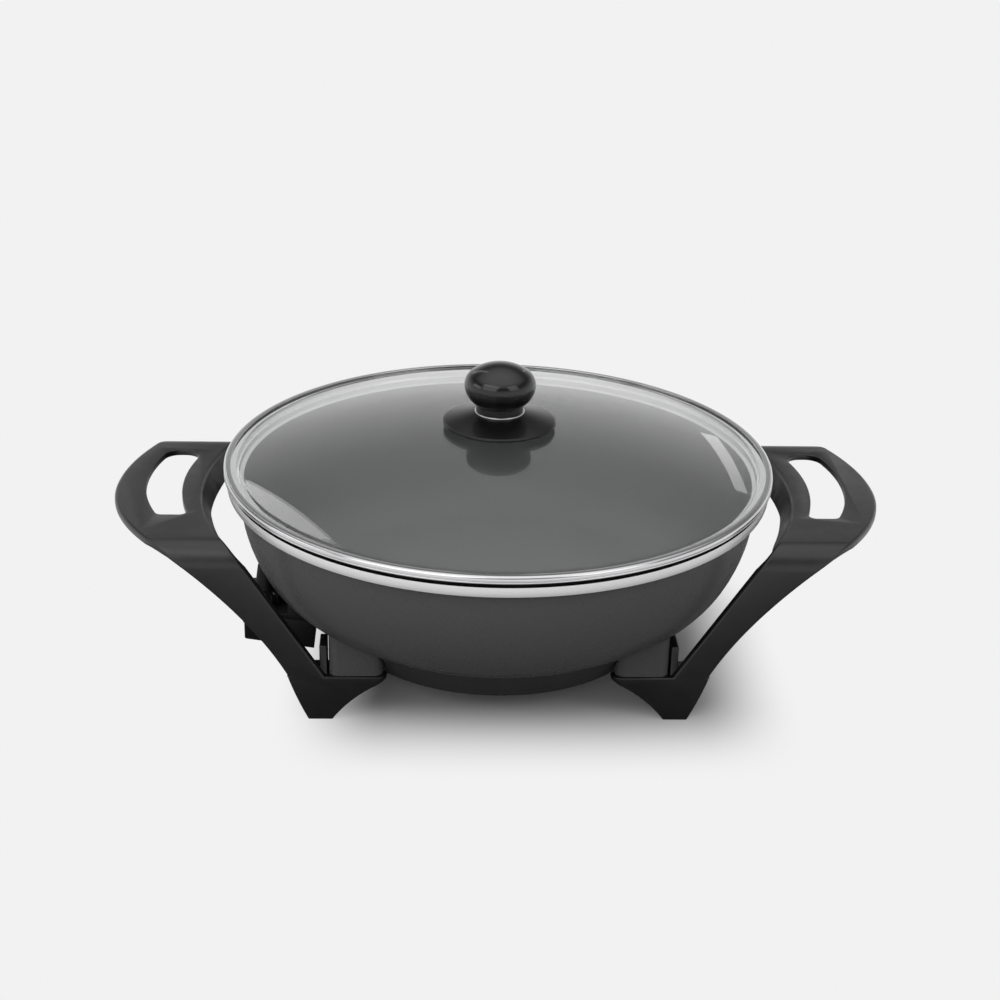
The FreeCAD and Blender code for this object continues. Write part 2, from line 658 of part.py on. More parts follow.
for side, word in ((-1, "left"), (1, "right")):
    seat = s.ledge_top - s.foot_wall
    solid_node(f"leg_screws_{word}", Part.makeCompound([
        pan_screw(s.leg_screw_radius, s.leg_screw_head, s.leg_screw_head_depth,
                  V(side * leg_screw_x, end * leg_screw_y, seat),
                  V(side * leg_screw_x, end * leg_screw_y, s.ledge_top + s.leg_screw_bite))
        for end in SIDES]))

# ---------------------------------------------------------------- heating element, terminals

guard_end = guard_start + s.guard_depth
control_front = guard_end + s.control_gap
element_end = guard_start + s.element_overlap
pin_end = control_front + s.pin_reach
insulator_start = element_end + s.insulator_gap
insulator_end = insulator_start + s.insulator_length


def pin_axis(end, near, far):
    """Two points on one terminal's axis, near and far from the bowl's middle."""
    return V(-near, end * s.pin_spread, element_level), V(-far, end * s.pin_spread, element_level)


def element_path():
    """Centre line: in along one terminal, round under the bowl's floor and out along the other."""
    elbow = s.element_elbow
    reach = element_circle + elbow
    spread = math.asin((s.pin_spread + elbow) / reach)
    elbow_x = -reach * math.cos(spread)
    half_turn = (math.pi / 2 - spread) / 2

    def on_path(x, y):
        """A point and its mirror image in the plane between the terminals."""
        return V(x, y, element_level), V(x, -y, element_level)

    start, finish_point = on_path(-element_end, s.pin_spread)
    turn, last_turn = on_path(elbow_x, s.pin_spread)
    bow, last_bow = on_path(elbow_x + elbow * math.sin(half_turn),
                            s.pin_spread + elbow - elbow * math.cos(half_turn))
    join, last_join = on_path(-element_circle * math.cos(spread),
                              element_circle * math.sin(spread))
    far_side = V(element_circle, 0, element_level)
    return Part.Wire([Part.makeLine(start, turn), Part.Arc(turn, bow, join).toShape(),
                      Part.Arc(join, far_side, last_join).toShape(),
                      Part.Arc(last_join, last_bow, last_turn).toShape(),
                      Part.makeLine(last_turn, finish_point)])


element_start = V(-element_end, s.pin_spread, element_level)
section = Part.Wire(Part.makeCircle(s.element_radius, element_start, V(1, 0, 0)))
solid_node("heating_element", element_path().makePipeShell([section], True, False))

solid_node("terminal_pins", Part.makeCompound([
    rod(s.pin_radius, *pin_axis(end, element_end, pin_end)) for end in SIDES]))
solid_node("pin_insulators", Part.makeCompound([
    rod(s.insulator_radius, *pin_axis(end, insulator_start, insulator_end)).cut(
        rod(s.pin_radius + s.screw_gap, *pin_axis(end, insulator_start, insulator_end)))
    for end in SIDES]))

sensor_sleeve = new_body("sensor_sleeve")
raised(sensor_sleeve, "YZ_Plane", s.sleeve_length, level=-sleeve_end,
       circles=[(0, element_level, s.sleeve_outer), (0, element_level, s.rod_radius + s.rod_gap)])

pin_guard = new_body("pin_guard")
raised(pin_guard, "YZ_Plane", s.guard_depth, level=-guard_end, loops=[
    round_loop(-s.guard_half_width, s.guard_half_width, guard_bottom, guard_top, s.guard_corner)])
guard_plate_end = guard_start + s.guard_plate
cut(pin_guard, "YZ_Plane", guard_end - guard_plate_end, level=-guard_end,
    loops=[box_loop(-s.guard_half_width + s.guard_wall, s.guard_half_width - s.guard_wall,
                    guard_bottom + s.guard_wall, guard_top + OVERRUN)])
cut(pin_guard, "YZ_Plane", s.guard_plate + 2 * OVERRUN, level=-guard_plate_end - OVERRUN,
    circles=[(0, element_level, s.rod_radius + s.hole_gap)]
    + [(end * s.pin_spread, element_level, s.insulator_radius + s.screw_gap) for end in SIDES])

# ---------------------------------------------------------------- heat control


control_back = control_front + s.control_length
control_bottom = element_level - s.control_drop
inner_floor = control_bottom + s.control_wall
deck_level = element_level + s.deck_rise
step_x = control_front + s.nose_length
step_top = element_level + s.step_rise
nose_top = element_level + s.nose_rise
nose_ceiling = nose_top - s.control_wall


def control_half(distance):
    """Half width of the housing at a distance from the bowl's middle."""
    share = (distance - control_front) / s.control_length
    return s.control_front_half - (s.control_front_half - s.control_back_half) * share


def control_plan(wall):
    """Plan of the housing, wide at the terminals and narrower outwards, or of its inside."""
    slope = (s.control_front_half - s.control_back_half) / s.control_length
    front, back = control_front + wall, control_back - wall
    wide = control_half(front) - wall * (1 + slope / 4)
    narrow = control_half(back) - wall * (1 + slope / 4)
    return [(-back, -narrow), (-front, -wide), (-front, wide), (-back, narrow)]


def upright_edges(feature, x_limit):
    """Names of the feature's upright edges that are further out than x_limit."""
    names = []
    for number, edge in enumerate(feature.Shape.Edges, start=1):
        box = edge.BoundBox
        if box.XLength < 0.01 and box.YLength < 0.01 and box.ZLength > 1 and box.XMax < x_limit:
            names.append(f"Edge{number}")
    return names


def fillet(body, radius, names):
    base = last_solid(body)
    feature = body.newObject("PartDesign::Fillet", body.Name + "Fillet")
    feature.Base = (base, names)
    bind(feature, "Radius", radius)
    body.Tip = feature
    doc.recompute()
    return feature


terminal_circles = [(0, element_level, s.rod_radius + s.hole_gap)] + [
    (end * s.pin_spread, element_level, s.pin_hole) for end in SIDES]
control_screw_x = control_front + s.control_screw_x
post_places = [(-control_screw_x, end * s.control_screw_y) for end in SIDES]
gland_x = control_back - s.gland_inset
gland_level = element_level - s.gland_drop
gland_end = control_half(gland_x) + s.gland_proud
lens_level = element_level - s.lens_drop


def posts(radius):
    return [(x, y, radius) for x, y in post_places]


def front_wall_holes(housing):
    """The holes for the rod and the terminals in the wall that faces the bowl."""
    cut(housing, "YZ_Plane", s.control_wall + OVERRUN,
        level=-control_front - s.control_wall - OVERRUN / 2, circles=terminal_circles)


lower = new_body("control_housing_lower")
lower_form = raised(lower, "XY_Plane", s.control_drop, level=control_bottom,
                    loops=[control_plan(0)])
fillet(lower, s.control_corner, upright_edges(lower_form, -control_front - s.block_inset))
cut(lower, "XY_Plane", s.control_drop, level=inner_floor, loops=[control_plan(s.control_wall)])
raised(lower, "XY_Plane", element_level - inner_floor, level=inner_floor,
       circles=posts(s.control_post_radius))
cut(lower, "XY_Plane", s.control_drop + 2 * OVERRUN, level=control_bottom - OVERRUN,
    circles=posts(s.control_screw_radius + s.hole_gap))
screw_recess = s.control_screw_head_depth + s.screw_gap
cut(lower, "XY_Plane", screw_recess + OVERRUN, level=control_bottom - OVERRUN,
    circles=posts(s.control_screw_head + s.hole_gap))
front_wall_holes(lower)
cut(lower, "XZ_Plane", s.gland_length + s.control_wall + OVERRUN, level=-gland_end - OVERRUN,
    circles=[(-gland_x, gland_level, s.gland_radius + s.screw_gap)])
cut(lower, "YZ_Plane", s.control_wall + OVERRUN, level=-control_back - OVERRUN / 2,
    circles=[(-s.lens_y, lens_level, s.lens_radius + s.screw_gap)])

upper = new_body("control_housing_upper")
upper_form = raised(upper, "XY_Plane", s.step_rise, level=element_level,
                    loops=[control_plan(0)])
fillet(upper, s.control_corner, upright_edges(upper_form, -control_front - s.block_inset))
cut(upper, "XZ_Plane", 4 * s.control_front_half, level=-2 * s.control_front_half, loops=[[
    (-control_back - OVERRUN, deck_level), (-step_x, deck_level), (-step_x, step_top),
    (-control_front, nose_top), (-control_front + OVERRUN, nose_top),
    (-control_front + OVERRUN, step_top + OVERRUN),
    (-control_back - OVERRUN, step_top + OVERRUN)]])
cut(upper, "XY_Plane", s.deck_rise - s.control_wall, level=element_level,
    loops=[control_plan(s.control_wall)])
cut(upper, "XY_Plane", nose_ceiling - element_level, level=element_level,
    loops=[box_loop(-step_x + s.control_wall / 2, -control_front - s.control_wall,
                    -s.block_half - s.block_room, s.block_half + s.block_room)])
raised(upper, "XY_Plane", s.deck_rise, level=element_level, circles=posts(s.control_post_radius))
cut(upper, "XY_Plane", s.control_screw_bite + OVERRUN / 2, level=element_level,
    circles=posts(s.control_screw_radius + s.screw_gap))
front_wall_holes(upper)
dial_x = control_back - s.dial_inset
cut(upper, "XY_Plane", s.control_wall + OVERRUN, level=deck_level - s.control_wall - OVERRUN / 2,
    circles=[(-dial_x, 0, s.spindle_radius + s.spindle_gap)])

solid_node("control_screws", Part.makeCompound([
    pan_screw(s.control_screw_radius, s.control_screw_head, s.control_screw_head_depth,
              V(x, y, control_bottom + screw_recess), V(x, y, element_level + s.control_screw_bite))
    for x, y in post_places]))

block_start = control_front + s.block_inset
block_end = block_start + s.block_length
rod_tip = sleeve_start + s.rod_tip_gap
solid_node("sensor_rod", rod(s.rod_radius, V(-block_end, 0, element_level),
                             V(-rod_tip, 0, element_level)))
contact_start = control_front + s.contact_inset
contact_end = contact_start + s.contact_length
contact_bore = s.pin_radius + s.contact_gap
contact_outer = contact_bore + s.contact_wall
solid_node("contact_sleeves", Part.makeCompound([
    rod(contact_outer, *pin_axis(end, contact_start, contact_end)).cut(
        rod(contact_bore, *pin_axis(end, contact_start, contact_end))) for end in SIDES]))

contact_block = new_body("contact_block")
raised(contact_block, "YZ_Plane", s.block_length, level=-block_end,
       loops=[box_loop(-s.block_half, s.block_half, inner_floor, nose_ceiling)])
cut(contact_block, "YZ_Plane", s.block_length + 2 * OVERRUN, level=-block_end - OVERRUN,
    circles=[(0, element_level, s.rod_radius + s.screw_gap)]
    + [(end * s.pin_spread, element_level, contact_outer + s.screw_gap) for end in SIDES])

spindle_bottom = deck_level - s.spindle_depth
frame_left = -dial_x - s.frame_half
frame_right = -dial_x + s.frame_half + s.frame_tail
frame_post = frame_left + s.frame_wall
frame_head = spindle_bottom - OVERRUN
thermostat_frame = new_body("thermostat_frame")
raised(thermostat_frame, "XZ_Plane", 2 * s.frame_half, level=-s.frame_half, loops=[[
    (frame_left, inner_floor), (frame_right, inner_floor),
    (frame_right, inner_floor + s.frame_wall), (frame_post, inner_floor + s.frame_wall),
    (frame_post, frame_head), (frame_left, frame_head)]])


def blade(label, lift, narrower, shorter):
    """A flat spring that starts at the frame's post."""
    width = s.blade_width - 2 * narrower
    solid_node(label, Part.makeBox(frame_right - frame_post - shorter, width, s.blade_thickness,
                                   V(frame_post, -width / 2, inner_floor + s.frame_wall + lift)))


blade("bimetal_blade", s.blade_lift, 0, 1)
blade("contact_arm", s.blade_lift + s.arm_lift, 1, 3)
dial_foot = deck_level + s.dial_gap
solid_node("dial_spindle", rod(s.spindle_radius, V(-dial_x, 0, spindle_bottom),
                               V(-dial_x, 0, dial_foot)))

dial = new_body("temperature_dial")
dial_top = dial_foot + s.dial_depth
grip_top = dial_top + s.dial_grip_height
raised(dial, "XY_Plane", s.dial_depth, level=dial_foot, circles=[(-dial_x, 0, s.dial_radius)])
foot_sketch = new_sketch(dial, "XY_Plane", circles=[(-dial_x, 0, s.grip_foot_radius)],
                         level=dial_top)
tip_sketch = new_sketch(dial, "XY_Plane", circles=[(-dial_x, 0, s.grip_top_radius)],
                        level=grip_top)
doc.recompute()
dial_grip, dial_volume = add_feature(dial, "PartDesign::AdditiveLoft", "dial_grip", foot_sketch)
dial_grip.Sections = [tip_sketch]
finish(dial, dial_grip, dial_volume, True)
grip_rim = [f"Edge{number}" for number, edge in enumerate(dial_grip.Shape.Edges, start=1)
            if edge.BoundBox.ZMin > grip_top - 0.01]
fillet(dial, s.grip_round, grip_rim)
flute_angles = [360 / s.dial_flutes * number for number in range(int(s.dial_flutes))]
flute_circle = s.dial_radius + s.flute_radius / 2
cut(dial, "XY_Plane", s.dial_depth, level=dial_foot,
    circles=[(-dial_x + flute_circle * cosine(angle), flute_circle * sine(angle), s.flute_radius)
             for angle in flute_angles])

lens = new_body("pilot_lens")
raised(lens, "YZ_Plane", s.lens_rise + s.control_wall, level=-control_back - s.lens_rise,
       circles=[(-s.lens_y, lens_level, s.lens_radius)])
lamp_start = V(-control_back + s.control_wall, -s.lens_y, lens_level)
solid_node("pilot_lamp", rod(s.lamp_radius, lamp_start, lamp_start + V(s.lamp_length, 0, 0)))

gland = new_body("cord_gland")
raised(gland, "XZ_Plane", s.gland_length, level=-gland_end,
       circles=[(-gland_x, gland_level, s.gland_radius), (-gland_x, gland_level, s.gland_bore)])

# ---------------------------------------------------------------- lid

lid_radius = s.band_radius + s.lid_overhang
lip_low = s.rim_height + s.lid_stand
lid_flange_level = lip_low + s.lid_rim_wall
flange_radius = seat_radius + s.lid_seat_margin
dome_foot = lid_flange_level + s.glass_thickness
glass_edge = lid_radius - s.lid_rim_wall - s.glass_edge_gap
dome_radius = cap_radius(flange_radius, s.dome_rise)
glass_under = lid_flange_level + s.dome_rise
glass_top = dome_foot + s.dome_rise
lid_glass = new_body("lid_glass")
turned(lid_glass, [
    (0, glass_under, -dome_radius), (flange_radius, lid_flange_level),
    (glass_edge, lid_flange_level), (glass_edge, dome_foot),
    (flange_radius, dome_foot, dome_radius), (0, glass_top)])
cut(lid_glass, "XY_Plane", s.glass_thickness + 4, level=glass_under - 2,
    circles=[(0, 0, s.stem_hole)])

lid_rim = new_body("lid_rim")
lip_high = dome_foot + s.lid_rim_wall
turned(lid_rim, [
    (flange_radius, s.rim_height), (flange_radius + s.lid_rim_wall, s.rim_height),
    (flange_radius + s.lid_rim_wall, lip_low), (lid_radius - s.rim_round, lip_low, s.rim_round),
    (lid_radius, lip_low + s.rim_round),
    (lid_radius, lip_high - s.rim_round, s.rim_round),
    (lid_radius - s.rim_round, lip_high), (lid_radius - s.rim_lip, lip_high),
    (lid_radius - s.rim_lip, dome_foot), (lid_radius - s.lid_rim_wall, dome_foot),
    (lid_radius - s.lid_rim_wall, lid_flange_level), (flange_radius, lid_flange_level)])

gasket_top = glass_top + s.gasket_thickness
stem_way = s.knob_screw_radius + s.stem_gap
gasket = new_body("knob_gasket")
turned(gasket, [(stem_way, glass_top), (s.gasket_radius, glass_top),
                (s.gasket_radius, gasket_top), (stem_way, gasket_top)])

skirt_top = gasket_top + s.skirt_height
skirt_edge_level = glass_top + s.skirt_edge_rise
knob_skirt = new_body("knob_skirt")
turned(knob_skirt, [
    (stem_way, gasket_top), (s.gasket_radius + 0.5, gasket_top),
    (s.gasket_radius + 0.5, skirt_top - s.skirt_wall - 0.6), (s.skirt_radius - 1, skirt_edge_level),
    (s.skirt_radius, skirt_edge_level + 0.4), (s.skirt_radius, skirt_edge_level + s.skirt_edge),
    (s.skirt_radius - 1, skirt_edge_level + s.skirt_wall - 0.2), (s.skirt_hub, skirt_top),
    (stem_way, skirt_top)])

trim_top = skirt_top + s.trim_thickness
trim = new_body("knob_trim_ring")
turned(trim, [(s.insert_radius, skirt_top), (s.trim_radius, skirt_top), (s.trim_radius, trim_top),
              (s.insert_radius, trim_top)])

waist = trim_top + s.neck_height + s.knob_waist_level
crown_radius = cap_radius(s.knob_shoulder_x, s.knob_rise - s.knob_shoulder_rise)
knob = new_body("lid_knob")
turned(knob, [
    (0, trim_top), (s.neck_radius, trim_top),
    (s.neck_radius, trim_top + s.neck_height, s.knob_under_arc), (s.knob_radius, waist,
                                                                  s.knob_shoulder_arc),
    (s.knob_shoulder_x, waist + s.knob_shoulder_rise, crown_radius),
    (0, waist + s.knob_rise)])
cut(knob, "XY_Plane", s.insert_length, level=trim_top, circles=[(0, 0, s.insert_radius)])

insert = new_body("knob_insert")
raised(insert, "XY_Plane", s.insert_length, level=trim_top,
       circles=[(0, 0, s.insert_radius), (0, 0, s.knob_screw_radius + s.screw_gap)])

under_gasket_top = glass_under - s.under_gasket_radius * s.under_gasket_radius / (2 * dome_radius)
under_gasket_low = under_gasket_top - s.under_gasket_thickness
under_gasket = new_body("under_gasket")
raised(under_gasket, "XY_Plane", s.under_gasket_thickness, level=under_gasket_low,
       circles=[(0, 0, s.under_gasket_radius), (0, 0, stem_way)])
washer_low = under_gasket_low - s.washer_thickness
washer = new_body("knob_washer")
raised(washer, "XY_Plane", s.washer_thickness, level=washer_low,
       circles=[(0, 0, s.washer_radius), (0, 0, stem_way)])
solid_node("knob_screw", pan_screw(s.knob_screw_radius, s.knob_screw_head,
                                   s.knob_screw_head_depth, V(0, 0, washer_low),
                                   V(0, 0, trim_top + s.insert_length - 2)))

# ---------------------------------------------------------------- check and write

doc.recompute()
for item in doc.Objects:
    if "Invalid" in item.State or "Error" in item.State:
        raise RuntimeError(f"{item.Label} failed: {item.State}")

nodes = [item for item in doc.Objects
         if item.TypeId in ("PartDesign::Body", "Part::Feature")]
os.makedirs("parts", exist_ok=True)
for node in nodes:
    shape = node.Shape
    if shape.isNull() or not shape.isValid() or not shape.Solids:
        raise RuntimeError(f"{node.Label} has no valid solid")
    shape.exportStep(f"parts/{node.Label}.step")
    box = shape.BoundBox
    print(f"{node.Label:24s} {len(shape.Solids)} solid {shape.Volume / 1000:9.2f} cm3  "
          f"x {box.XMin:7.1f} {box.XMax:7.1f}  y {box.YMin:7.1f} {box.YMax:7.1f}  "
          f"z {box.ZMin:7.1f} {box.ZMax:7.1f}")
print(len(nodes), "nodes")
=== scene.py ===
# %% [markdown]
# # An electric wok in Blender
# The wok stands on a table: a cast bowl between two black handle legs, a loose glass lid with a
# steel rim, and a heat control that plugs in on the left. The imported model gives every piece its
# place, in metres, with the origin on the table under the middle of the bowl. This first cell
# loads it.

# %% Load the frame
import bpy
import json
import math
from mathutils import Matrix, Quaternion, Vector
from mathutils.bvhtree import BVHTree

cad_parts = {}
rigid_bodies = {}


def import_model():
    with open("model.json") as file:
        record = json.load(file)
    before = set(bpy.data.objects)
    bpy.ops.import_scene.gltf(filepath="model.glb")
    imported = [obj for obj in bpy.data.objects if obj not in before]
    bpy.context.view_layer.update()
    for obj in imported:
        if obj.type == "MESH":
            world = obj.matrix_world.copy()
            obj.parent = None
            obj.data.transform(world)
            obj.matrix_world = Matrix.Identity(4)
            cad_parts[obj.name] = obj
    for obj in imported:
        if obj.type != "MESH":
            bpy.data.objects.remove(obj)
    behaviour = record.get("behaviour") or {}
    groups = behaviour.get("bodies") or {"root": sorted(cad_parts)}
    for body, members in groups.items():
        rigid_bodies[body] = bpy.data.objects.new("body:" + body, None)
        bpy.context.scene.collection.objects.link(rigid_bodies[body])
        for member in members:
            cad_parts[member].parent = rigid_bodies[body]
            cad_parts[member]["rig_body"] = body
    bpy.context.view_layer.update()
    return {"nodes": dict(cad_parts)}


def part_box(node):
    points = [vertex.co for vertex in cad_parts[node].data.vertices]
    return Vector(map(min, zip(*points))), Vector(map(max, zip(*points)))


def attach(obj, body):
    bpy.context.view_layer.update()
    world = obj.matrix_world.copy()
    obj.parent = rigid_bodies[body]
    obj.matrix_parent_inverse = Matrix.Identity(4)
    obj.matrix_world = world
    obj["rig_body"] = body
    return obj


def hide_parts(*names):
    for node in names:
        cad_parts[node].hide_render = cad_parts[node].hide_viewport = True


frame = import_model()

MM = 0.001

# %% [markdown]
# ## The camera
# A lens of about 68 mm on a 36 mm sensor looks from 1.2 m away and 24 degrees above the table, a
# little from the left and with a slight roll. A camera can be aimed with three angles or with a
# constraint. Here its rotation matrix is made of its own right, up and back directions, because
# that states the roll plainly. The small shift moves the frame and not the perspective.

# %% Camera
ELEVATION, TURN, ROLL = 0.425, -0.042, 0.024
DISTANCE = 1.2
MIDDLE = Vector((0, 0, 0.1))
back = Vector((math.sin(TURN) * math.cos(ELEVATION), -math.cos(TURN) * math.cos(ELEVATION),
               math.sin(ELEVATION)))
level_right = (-back).cross(Vector((0, 0, 1))).normalized()
level_up = level_right.cross(-back)
right = level_right * math.cos(ROLL) + level_up * math.sin(ROLL)
up = level_up * math.cos(ROLL) - level_right * math.sin(ROLL)

bpy.ops.object.camera_add()
camera = bpy.context.object
camera.matrix_world = Matrix.Translation(MIDDLE + back * DISTANCE) @ Matrix(
    (right, up, back)).transposed().to_4x4()
camera.data.lens = 68.43
camera.data.sensor_width = 36
camera.data.shift_x = 0.0028
camera.data.shift_y = 0.0110
bpy.context.scene.camera = camera
print("camera at", [round(v, 3) for v in camera.location])

# %% [markdown]
# ## Working in edit mode
# Operators act on whatever is selected, so each job starts by selecting nothing and then one piece.
# A finished piece keeps its place in its mesh and its object stays at the origin. Then a pattern
# that reads the object's own coordinates lies still when the piece moves.

# %% Selecting and settling
def select_nothing():
    if bpy.context.mode != "OBJECT":
        bpy.ops.object.mode_set(mode="OBJECT")
    bpy.ops.object.select_all(action="DESELECT")


def take(piece):
    """Select one piece and make it active."""
    select_nothing()
    piece.select_set(True)
    bpy.context.view_layer.objects.active = piece


def settle(piece):
    """Put the object at the origin, unturned, with its place in its mesh."""
    take(piece)
    bpy.ops.object.transform_apply(location=True, rotation=True, scale=True)


def smooth(piece, angle=30):
    take(piece)
    bpy.ops.object.shade_smooth_by_angle(angle=math.radians(angle))


# %% [markdown]
# ### Sections for round pieces
# A round piece is known by half of its section. Its corners are written as radius, height and the
# rounding that they have on the real piece, and a short function turns each rounding into points
# of its arc. A bevel on the finished mesh could do this too, but the section keeps every rounding
# exact and its own.

# %% Roundings and arcs
def rounded(corners, steps=5):
    """Points of a closed outline whose corners (radius, height, rounding) become arcs."""
    points = []
    count = len(corners)
    for number, (x, y, rounding) in enumerate(corners):
        here = Vector((x, y))
        if not rounding:
            points.append(here)
            continue
        back_way = (Vector(corners[number - 1][:2]) - here).normalized()
        on_way = (Vector(corners[(number + 1) % count][:2]) - here).normalized()
        half = back_way.angle(on_way) / 2
        run = rounding / math.tan(half)
        middle = here + (back_way + on_way).normalized() * rounding / math.sin(half)
        start, end = here + back_way * run - middle, here + on_way * run - middle
        sweep = start.angle_signed(end)
        for step in range(steps + 1):
            turn = Matrix.Rotation(-sweep * step / steps, 2)
            points.append(middle + turn @ start)
    return [(point.x, point.y) for point in points]


def arc(start, end, radius, steps):
    """Points of an arc from one (radius, height) to another; a positive radius turns it left."""
    first, last = Vector(start), Vector(end)
    chord = last - first
    side = Vector((-chord.y, chord.x)).normalized() * (1 if radius > 0 else -1)
    centre = (first + last) / 2 + side * math.sqrt(radius ** 2 - chord.length ** 2 / 4)
    begin, finish = first - centre, last - centre
    sweep = begin.angle_signed(finish)
    return [tuple(centre + Matrix.Rotation(-sweep * step / steps, 2) @ begin)
            for step in range(steps + 1)]


# %% [markdown]
# ### The lathe
# Round pieces are turned the way a lathe would: one vertex is extruded along the section, the
# section is spun about Z, and the points that meet are merged. A Screw modifier would give the
# same shape. The spin is chosen because its result can be cleaned in the same edit.

# %% Turning a section
JOIN = 0.001 * MM


def lathe(name, outline, steps):
    """Extrude one vertex round a closed outline of (radius, height) and spin it about Z."""
    select_nothing()
    bpy.ops.mesh.primitive_plane_add(size=MM)
    piece = bpy.context.object
    piece.name = name
    bpy.ops.object.mode_set(mode="EDIT")
    bpy.ops.mesh.merge(type="CENTER")
    path = [*outline, outline[0]]
    bpy.ops.transform.translate(value=(path[0][0], 0, path[0][1]))
    for before, after in zip(path, path[1:]):
        step = (after[0] - before[0], 0, after[1] - before[1])
        bpy.ops.mesh.extrude_vertices_move(TRANSFORM_OT_translate={"value": step})
    bpy.ops.mesh.select_all(action="SELECT")
    bpy.ops.mesh.remove_doubles(threshold=JOIN)
    bpy.ops.mesh.select_all(action="SELECT")
    bpy.ops.mesh.spin(steps=steps, angle=2 * math.pi, center=(0, 0, 0), axis=(0, 0, 1))
    bpy.ops.mesh.select_all(action="SELECT")
    bpy.ops.mesh.remove_doubles(threshold=JOIN)
    bpy.ops.mesh.normals_make_consistent(inside=False)
    bpy.ops.object.mode_set(mode="OBJECT")
    settle(piece)
    smooth(piece)
    print(name, len(piece.data.polygons), "faces")
    return piece


def reach(node):
    """Outer radius, bottom and top of a round CAD node, in metres."""
    low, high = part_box(node)
    return (high.x - low.x) / 2, low.z, high.z


print("lid glass:", [round(v, 4) for v in reach("lid_glass")])

# %% [markdown]
# ## Materials
# Every finish is a node material. Textures could be painted for them, but noise in the object's
# own metres needs no file and stays sharp close by. A small class holds the usual chain: the
# shader, a texture coordinate, and helpers that add noise, a blend of colours and a bump. A value
# that is the same all over is set on the shader's own socket.

# %% Sockets and ranges
def feed(socket, value):
    """Link a socket to another one, or set it to a plain value."""
    if isinstance(value, bpy.types.NodeSocket):
        socket.id_data.links.new(value, socket)
    else:
        socket.default_value = value


def map_range(tree, factor, low, high, start=0.0, end=1.0):
    """Map a factor from start..end to low..high; each of the five is a number or a socket."""
    node = tree.nodes.new("ShaderNodeMapRange")
    for name, value in (("Value", factor), ("From Min", start), ("From Max", end),
                        ("To Min", low), ("To Max", high)):
        feed(node.inputs[name], value)
    return node.outputs["Result"]


def shade(colour, factor=1.0):
    """A colour made lighter or darker, with its alpha."""
    return (*[min(part * factor, 1) for part in colour], 1)


# %% A recipe for materials
# A Mix node has sockets for every kind of data. These are its two colours and their blend.
FIRST_COLOUR, SECOND_COLOUR, BLEND = 6, 7, 2
# Nearly all values of a noise texture lie between these two.
NOISE_LOW, NOISE_HIGH = 0.3, 0.7


class Finish:
    """A Principled material and short ways to add nodes to it."""

    def __init__(self, name, colour, roughness, **sockets):
        self.material = bpy.data.materials.new(name)
        self.material.use_nodes = True
        self.tree = self.material.node_tree
        self.shader = self.tree.nodes["Principled BSDF"]
        self.dress("Base Color", shade(colour))
        self.dress("Roughness", roughness)
        for socket, value in sockets.items():
            self.dress(socket.replace("_", " "), value)
        self.place = self.add("ShaderNodeTexCoord").outputs["Object"]

    def dress(self, socket, value):
        """Set or link one of the shader's own sockets."""
        feed(self.shader.inputs[socket], value)

    def add(self, kind, **inputs):
        """Add a node; a keyword names an input socket, and its value is a number or a socket."""
        node = self.tree.nodes.new(kind)
        for name, value in inputs.items():
            feed(node.inputs[name.replace("_", " ")], value)
        return node

    def noise(self, scale, detail=2, roughness=0.5):
        node = self.add("ShaderNodeTexNoise", Vector=self.place, Scale=scale, Detail=detail,
                        Roughness=roughness)
        return node.outputs["Fac"]

    def drift(self, noise, low, high):
        """Spread the usual values of a noise over low..high."""
        return map_range(self.tree, noise, low, high, NOISE_LOW, NOISE_HIGH)

    def blend_colours(self, factor, first, second):
        node = self.tree.nodes.new("ShaderNodeMix")
        node.data_type = "RGBA"
        feed(node.inputs["Factor"], factor)
        feed(node.inputs[FIRST_COLOUR], first)
        feed(node.inputs[SECOND_COLOUR], second)
        return node.outputs[BLEND]

    def bump(self, height, strength, distance):
        node = self.add("ShaderNodeBump", Strength=strength, Distance=distance, Height=height)
        self.dress("Normal", node.outputs["Normal"])

    def parts_of_place(self):
        """Separate X, Y and Z of the place, in metres."""
        return self.add("ShaderNodeSeparateXYZ", Vector=self.place).outputs[:3]

    def math(self, operation, first, second=0.0):
        node = self.tree.nodes.new("ShaderNodeMath")
        node.operation = operation
        feed(node.inputs[0], first)
        feed(node.inputs[1], second)
        return node.outputs[0]

    def radius(self):
        """Distance from the Z axis."""
        x, y, _ = self.parts_of_place()
        return self.math("SQRT", self.math("ADD", self.math("MULTIPLY", x, x),
                                           self.math("MULTIPLY", y, y)))


# %% [markdown]
# ### Black mouldings
# The legs and the heat control are moulded in a black plastic with a fine spark-eroded grain: it is
# nearly black, it has a soft sheen on faces that look at the sky, and its grain only shows close
# by. A plain dark colour would look like paint, so the tone and the gloss drift a little. The knob
# and its plate are pressed from a harder, glossier black.

# %% Plastics
def moulded(name, colour, roughness, specular, grain):
    finish = Finish(name, colour, roughness, Specular_IOR_Level=specular)
    cloud = finish.noise(scale=28, detail=3)
    finish.dress("Base Color", finish.blend_colours(cloud, shade(colour, 0.85),
                                                    shade(colour, 1.18)))
    gloss = finish.noise(scale=90)
    finish.dress("Roughness", finish.drift(gloss, roughness - 0.04, roughness + 0.05))
    finish.bump(finish.noise(scale=2600), strength=grain, distance=0.12 * MM)
    return finish.material


leg_plastic = moulded("leg_plastic", (0.0056, 0.0056, 0.0060), 0.33, specular=0.68, grain=0.35)
control_plastic = moulded("control_plastic", (0.0080, 0.0080, 0.0084), 0.42, specular=0.26,
                          grain=0.40)


